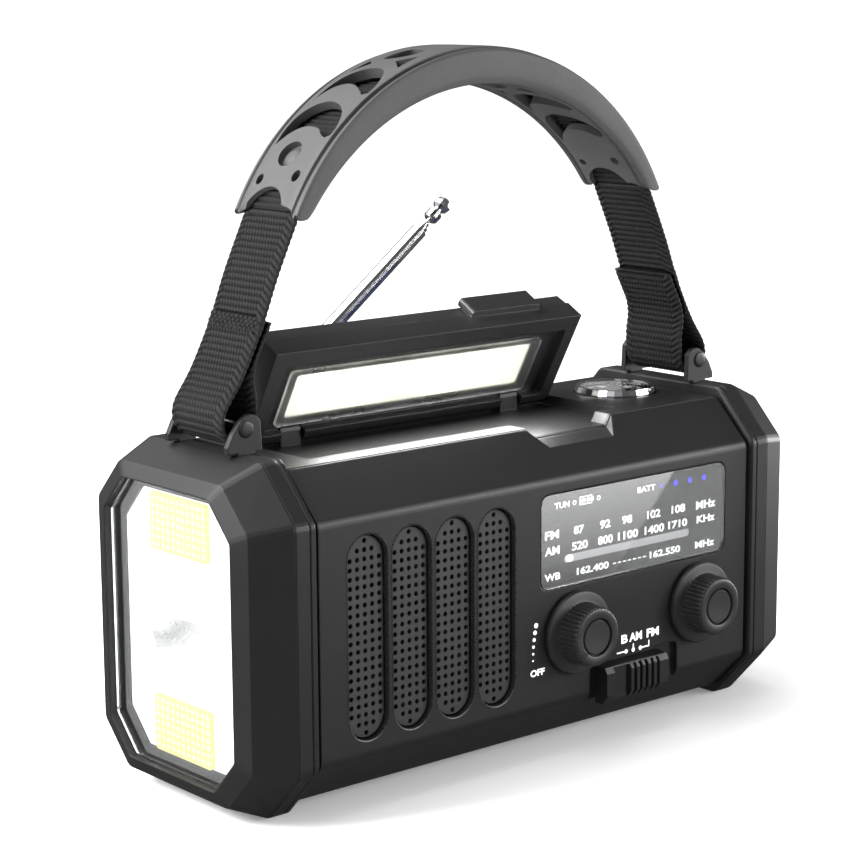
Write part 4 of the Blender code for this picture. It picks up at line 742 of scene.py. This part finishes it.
def grip():
    """Grey grip: an arch with openings on both faces, a tunnel and a dome near each end."""
    solid = mesh_object("grip_draft", grip_shell())
    cutters = Shape()
    for outline in opening_shapes():
        for mirror in (1, -1):
            for scale, under in ((1.0, False), (UNDER_SCALE, True)):
                cutters.rings([[skin_point(mirror * deg * scale, depth, y, under) for deg, y in outline]
                               for depth in (-0.3, 0.36)])
    for mirror in (1, -1):
        recess = ellipse(-50.5, 0.8, 3.1, 3.5, 28)
        cutters.rings([[skin_point(mirror * deg, depth, y) for deg, y in recess]
                       for depth in (-0.3, 0.26)])
    cut_away(solid, mesh_object("cutters", cutters))
    tunnel = Shape()
    section = ((0.30, -10.2), (0.30, 10.2), (0.68, 10.2), (0.68, -10.2))
    tunnel.rings([[arch_point(-68.0 + 136.0 * i / 80, depth, y) for depth, y in section]
                  for i in range(81)])
    cut_away(solid, mesh_object("tunnel", tunnel))
    shape = Shape()
    mesh = solid.data
    shape.add([tuple(v.co) for v in mesh.vertices], [tuple(p.vertices) for p in mesh.polygons])
    bpy.data.objects.remove(solid)
    for mirror in (1, -1):
        rings = []
        for k in range(7):
            a = math.radians(90.0 * k / 6)
            dome = ellipse(-50.9, 0.3, 2.35 * math.cos(a) + 0.02, 2.7 * math.cos(a) + 0.02, 28)
            rings.append([skin_point(mirror * deg, 0.24 - 0.2 * math.sin(a), y) for deg, y in dome])
        low = [skin_point(mirror * deg, 0.29, y) for deg, y in ellipse(-50.9, 0.3, 2.37, 2.72, 28)]
        shape.rings([low] + rings)
    piece = shape.piece("grip_moulding", MATS["grip"], "handle_grip", "grip_grey", 38)
    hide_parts("grip")


# ---------------------------------------------------------------- speaker

def slot_centres():
    return [SLOT_FIRST_X + SLOT_STEP * i for i in range(SLOT_COUNT)]


def speaker():
    """Perforated pads in the four slots, a rim round each slot and cloth behind."""
    shape = Shape()
    front, back = -31.75, -30.3
    for cx in slot_centres():
        outline = stadium(cx, 17.2, 64.5, 5.4, 14)
        holes = []
        for row in range(22):
            z = 40.85 + 2.133 * (10.5 - row)
            reach = {0: 0, 21: 0, 1: 1, 20: 1}.get(row, 2)
            for column in range(-reach, reach + 1):
                holes.append(ellipse(cx + 2.1 * column, z, 0.62, 0.62, 10))
        inset = stadium(cx, 17.45, 64.25, 5.15, 14)
        shape.plate(inset, holes, front, back, upright)
        shape.rings([[(a, front, b) for a, b in inset], [(a, front + 0.25, b) for a, b in outline],
                     [(a, back, b) for a, b in outline], [(a, back, b) for a, b in inset]], caps=False)
    pads = shape.piece("speaker_pads", MATS["pads"], BODY, "satin_black", 30)
    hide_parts("speaker_grille")
    rims = Shape()
    for cx in slot_centres():
        loops = []
        for grow, y in ((0.45, -32.88), (0.32, -33.0), (0.1, -32.95), (-0.04, -32.6), (-0.06, -32.0)):
            loops.append([(a, y, b) for a, b in stadium(cx, 16.9 - grow, 64.8 + grow, 5.7 + grow, 16)])
        rims.rings(loops + loops[:1], caps=False)
    rims.piece("speaker_slot_rims", MATS["rim"], BODY, "black_abs", 50)
    cloth = Shape()
    for cx in slot_centres():
        outline = stadium(cx, 16.4, 65.3, 5.9, 12)
        cloth.rings([[(a, -29.9, b) for a, b in outline], [(a, -29.5, b) for a, b in outline]])
    felt = moulded("speaker_felt", (0.004, 0.004, 0.004), 0.9, 0.5, 0.05, gloss=0.1)
    cloth.piece("speaker_cloth", felt, BODY, "satin_black", 30)


# ---------------------------------------------------------------- knobs

def knob(name, cx, cz, body, node, pointer_deg=None):
    """Ribbed knob, with a double pointer line where pointer_deg is given."""
    ribs = 40
    profile = [(0.02, -33.2), (10.3, -33.2), (10.4, -33.4), (10.4, -34.3), (10.1, -34.75), (9.4, -34.95),
               (8.2, -35.0), (7.8, -35.15), (7.62, -36.0), (7.45, -38.0), (7.32, -40.0), (7.2, -40.25),
               (6.9, -40.5), (6.5, -40.6), (4.95, -40.6), (4.8, -40.5), (4.75, -39.6), (4.3, -39.6),
               (4.25, -40.3), (4.05, -40.45), (1.6, -40.3), (0.02, -40.26)]
    # depth of the grooves at each row of the profile
    depth = {7: 0.3, 8: 0.34, 9: 0.34, 10: 0.34, 11: 0.22, 12: 0.08}

    def groove(row, a):
        return depth.get(row, 0.0) * (1.0 - abs(math.sin(ribs * a / 2)) ** 0.7)

    shape = Shape()
    shape.lathe(profile, (cx, 0, cz), "Y", ribs * 8, groove)
    if pointer_deg is not None:
        c, s = math.cos(math.radians(pointer_deg)), math.sin(math.radians(pointer_deg))
        for off in (-0.42, 0.42):
            corners = [(4.95, off - 0.2), (6.4, off - 0.2), (6.4, off + 0.2), (4.95, off + 0.2)]
            flat = [(cx + c * r - s * t, cz + s * r + c * t) for r, t in corners]
            shape.rings([[(x, -40.5, z) for x, z in flat], [(x, -40.74, z) for x, z in flat]])
    piece = shape.piece(name, MATS["knob"], body, "satin_black", 40)
    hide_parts(node)


# ---------------------------------------------------------------- lettering and marks

def label(shape, text, x, z, y, facing="front"):
    """Raised print: text fitted to the box x by z on the plane at y, in millimetres."""
    curve = bpy.data.curves.new("label", "FONT")
    curve.body = text
    curve.offset = 0.03
    curve.resolution_u = 4
    obj = link_new("label", curve)
    graph = bpy.context.evaluated_depsgraph_get()
    mesh = bpy.data.meshes.new_from_object(obj.evaluated_get(graph))
    xs = [v.co.x for v in mesh.vertices]
    ys = [v.co.y for v in mesh.vertices]
    sx = (x[1] - x[0]) / (max(xs) - min(xs))
    sz = (z[1] - z[0]) / (max(ys) - min(ys))
    verts = []
    for v in mesh.vertices:
        a = x[0] + (v.co.x - min(xs)) * sx
        b = z[0] + (v.co.y - min(ys)) * sz
        verts.append((a, y, b) if facing == "front" else (a, b, y))
    faces = [tuple(p.vertices) for p in mesh.polygons]
    bpy.data.objects.remove(obj)
    lift_print(shape, verts, faces, facing)


def lift_print(shape, verts, faces, facing):
    """Give flat print its thickness."""
    step = {"front": (0, PRINT_THICK, 0), "top": (0, 0, -PRINT_THICK)}[facing]
    count = len(verts)
    back = [(x + step[0], y + step[1], z + step[2]) for x, y, z in verts]
    edges = {edge: None for face in faces for edge in zip(face, face[1:] + face[:1])}
    sides = [(a, b, b + count, a + count) for a, b in edges if (b, a) not in edges]
    shape.add(verts + back, faces + [tuple(i + count for i in f[::-1]) for f in faces] + sides)


def bar(shape, x, z, y):
    """Printed bar over the ranges x and z."""
    flat = [(x[0], z[0]), (x[1], z[0]), (x[1], z[1]), (x[0], z[1])]
    shape.rings([[(a, y, b) for a, b in flat], [(a, y + PRINT_THICK, b) for a, b in flat]])


def dot(shape, x, z, r, y, inner=0.0):
    """Printed dot, or a ring where inner is given."""
    outline = ellipse(x, z, r, r, 20)
    if inner:
        shape.plate(outline, [ellipse(x, z, inner, inner, 20)], y, y + PRINT_THICK, upright)
    else:
        shape.rings([[(a, y, b) for a, b in outline], [(a, y + PRINT_THICK, b) for a, b in outline]])


# words and numbers on the dial, with the ranges of x and z that each fills
DIAL_ROWS = (
    ("FM", (-0.8, 3.8), (54.5, 56.6)), ("87", (8.7, 12.1), (54.5, 56.6)),
    ("92", (17.5, 21.1), (54.5, 56.6)), ("98", (25.1, 28.6), (54.5, 56.6)),
    ("102", (33.8, 38.5), (54.5, 56.6)), ("108", (42.5, 47.4), (54.5, 56.6)),
    ("MHz", (51.4, 58.4), (54.3, 56.4)),
    ("AM", (-0.8, 4.0), (50.6, 52.7)), ("520", (8.1, 13.4), (50.6, 52.7)),
    ("800", (16.9, 21.9), (50.6, 52.7)), ("1100", (23.7, 30.7), (50.6, 52.7)),
    ("1400", (33.0, 39.9), (50.6, 52.7)), ("1710", (41.4, 48.2), (50.7, 52.7)),
    ("KHz", (51.7, 58.3), (50.7, 52.6)),
    ("WB", (-0.9, 4.3), (44.3, 46.1)), ("162.400", (9.8, 20.6), (44.3, 46.1)),
    ("162.550", (34.9, 45.8), (44.3, 46.1)), ("MHz", (51.2, 58.2), (44.2, 46.0)),
    ("TUN", (2.3, 7.3), (61.7, 63.2)), ("BATT", (30.4, 36.6), (61.6, 63.1)),
)


def dial_print():
    """Scale lettering, the line round the dial, the pointer's strip and its tip."""
    y = DIAL_FACE_Y
    shape = Shape()
    for text, x, z in DIAL_ROWS:
        label(shape, text, x, z, y)
    for i in range(7):
        x = 22.0 + 1.75 * i
        bar(shape, (x, x + 1.05), (45.0, 45.3), y)
    for x in (8.9, 17.0):
        dot(shape, x, 62.45, 0.62, y, inner=0.34)
    shape.plate([(10.6, 61.5), (14.8, 61.5), (14.8, 63.6), (10.6, 63.6)],
                [[(10.9, 61.8), (14.5, 61.8), (14.5, 63.3), (10.9, 63.3)]], y, y + PRINT_THICK, upright)
    bar(shape, (14.8, 15.3), (62.1, 63.0), y)
    bar(shape, (11.2, 12.6), (62.1, 63.0), y)
    bar(shape, (13.0, 14.2), (62.1, 63.0), y)
    shape.piece("dial_lettering", MATS["print"], BODY, "white", 30)
    frame_line = Shape()
    frame_line.plate(round_rect((-2.3, 61.2), (42.5, 65.4), 2.2),
                     [round_rect((-1.95, 60.85), (42.85, 65.05), 1.9)], y, y + PRINT_THICK, upright)
    frame_line.piece("dial_edge_line", moulded("dial_line_grey", (0.1, 0.1, 0.105), 0.5), BODY,
                     "dial_print", 30)
    outline = round_rect((5.0, 49.8), (47.3, 50.5), 0.8)
    strip = Shape()
    strip.rings([[(a, depth, b) for a, b in outline] for depth in (-31.7, -31.55)])
    strip.piece("dial_strip", MATS["strip"], BODY, "dial_print", 30)
    outline = round_rect((6.3, 8.6), (48.05, 49.75), 0.8)
    tip = Shape()
    tip.rings([[(a, depth, b) for a, b in outline] for depth in (-32.02, -31.74)])
    tip.piece("dial_pointer_tip", MATS["pointer"], "pointer", "white", 30)


def battery_dots():
    """Four lights above the dial, of which the first is dim."""
    profile = [(0.02, -32.09), (0.3, -32.085), (0.55, -32.06), (0.66, -32.03), (0.66, -32.01),
               (0.02, -32.01)]
    for name, lights, material in (("battery_dot_dim", (0,), "blue_dim"),
                                   ("battery_dots", (1, 2, 3), "blue")):
        shape = Shape()
        for i in lights:
            shape.lathe(profile, (38.75 + 5.15 * i, 0, 62.3), "Y", 20)
        shape.piece(name, MATS[material], BODY, "blue_light", 40)


def front_print():
    """Band names over the slide key, volume dots and the off mark."""
    y = FRONT_FACE_Y
    shape = Shape()
    label(shape, "W", (19.5, 23.1), (24.3, 26.5), y)
    label(shape, "B", (24.7, 26.9), (24.3, 26.5), y)
    label(shape, "AM", (27.5, 31.9), (24.3, 26.5), y)
    label(shape, "FM", (33.6, 37.9), (24.3, 26.5), y)
    for x in (26.4, 28.9, 31.4):
        dot(shape, x, 22.1, 0.55, y)
    bar(shape, (23.2, 26.4), (21.95, 22.3), y)
    bar(shape, (28.75, 29.05), (22.1, 23.7), y)
    bar(shape, (31.4, 34.55), (21.95, 22.3), y)
    bar(shape, (34.25, 34.55), (22.3, 23.6), y)
    for i in range(6):
        dot(shape, -5.1 + 1.0 * (i / 5) ** 2, 25.7 + 1.72 * i, 0.25 + 0.075 * i, y)
    label(shape, "OFF", (-5.9, -1.3), (21.7, 23.4), y)
    shape.piece("front_lettering", MATS["print"], BODY, "white", 30)


# ---------------------------------------------------------------- torch and compass

def reflector():
    """Bright bowl with rings of small facets."""
    front, depth, rim, throat = -82.2, 13.2, 13.7, 3.4
    profile = [(14.5, front), (rim, front)]
    for i in range(1, 13):
        r = rim - (rim - throat) * i / 12
        profile.append((r, front + depth * (1 - (r / rim) ** 2)))

    def facet(row, a):
        return 0.16 * math.sin(9 * a + 0.9 * row) if 1 < row < 13 else 0.0

    shape = Shape()
    shape.lathe(profile, (0, 0, MID_Z), "X", 72, facet)
    shape.faces = shape.faces[:-2]      # open at both ends
    piece = shape.piece("torch_bowl", MATS["silver"], BODY, "silver_plate", 60)
    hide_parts("torch_reflector")


def cob_dots():
    """Fine rows of chips under the yellow coating."""
    shape = Shape()
    profile = [(0.02, -83.42), (0.35, -83.4), (0.5, -83.32), (0.5, -83.25), (0.02, -83.25)]
    for sign in (-1, 1):
        for row in range(7):
            z = MID_Z + sign * COB_OFFSET_Z - 5.4 + 1.8 * row
            for column in range(11):
                shape.lathe(profile, (0, -10.0 + 2.0 * column, z), "X", 8)
    shape.piece("torch_cob_chips", glowing("cob_chip_lit", (1.0, 0.98, 0.5), 0.9), BODY,
                "phosphor", 40)


def compass_print():
    """Degree marks and the four points on the compass card."""
    x, y = 55.8, 1.5
    shape = Shape()

    def up(r):
        """Height of the card's slightly domed face at a radius."""
        return 80.26 - 0.3 * r / 7.9

    for i in range(36):
        a = math.radians(10 * i)
        long = 1.5 if i % 3 == 0 else 0.8
        c, s = math.cos(a), math.sin(a)
        flat = [(7.4 - long, -0.12), (7.4, -0.12), (7.4, 0.12), (7.4 - long, 0.12)]
        spots = [(x + c * r - s * t, y + s * r + c * t, up(r)) for r, t in flat]
        shape.rings([spots, [(p, q, r - 0.15) for p, q, r in spots]])
    for text, dx, dy in (("N", 0, 4.6), ("S", 0, -4.6), ("E", 4.6, 0), ("W", -4.6, 0)):
        label(shape, text, (x + dx - 0.9, x + dx + 0.9), (y + dy - 1.0, y + dy + 1.0), up(4.0),
              "top")
    shape.piece("compass_lettering", MATS["print"], "compass_needle_card", "white", 30)


# ---------------------------------------------------------------- rear and small parts

def lug_caps():
    """Rivet heads on the outer faces of the strap lugs."""
    shape = Shape()
    face = 12.28
    for sx in (-1, 1):
        for sy in (-1, 1):
            profile = [(2.0, sy * face), (2.0, sy * (face + 0.18)), (1.7, sy * (face + 0.36)),
                       (1.0, sy * (face + 0.42)), (0.02, sy * (face + 0.44))]
            shape.lathe(profile, (sx * BAR_X, 0, BAR_Z), "Y", 24)
    shape.piece("lug_caps", MATS["ring"], BODY, "black_abs", 40)


def rear_screws():
    """Four screws in the rear shell, each with a cross."""
    shape = Shape()
    profile = [(0.02, 30.2), (2.5, 30.2), (2.5, 31.2), (2.1, 31.7), (1.2, 31.9), (0.02, 31.95)]
    for x in (-64.8, 64.8):
        for z in (20.5, 62.0):
            shape.lathe(profile, (x, 0, z), "Y", 28)
            for turn in (0, 90):
                a = math.radians(turn + 20)
                c, s = math.cos(a), math.sin(a)
                flat = [(-1.3, -0.22), (1.3, -0.22), (1.3, 0.22), (-1.3, 0.22)]
                spots = [(x + c * r - s * t, z + s * r + c * t) for r, t in flat]
                shape.rings([[(p, 31.7, q) for p, q in spots], [(p, 31.97, q) for p, q in spots]])
    shape.piece("rear_screws", MATS["steel"], BODY, "steel", 35)


def build_pieces():
    straps()
    grip()
    speaker()
    knob("volume_knob_ribbed", 9.1, 30.5, "volume", "volume_knob", 222.0)
    knob("tuning_knob_ribbed", 52.0, 30.5, "tuning", "tuning_knob")
    dial_print()
    battery_dots()
    front_print()
    reflector()
    cob_dots()
    compass_print()
    lug_caps()
    rear_screws()


make_camera()
dress_frame()
make_studio()
build_pieces()
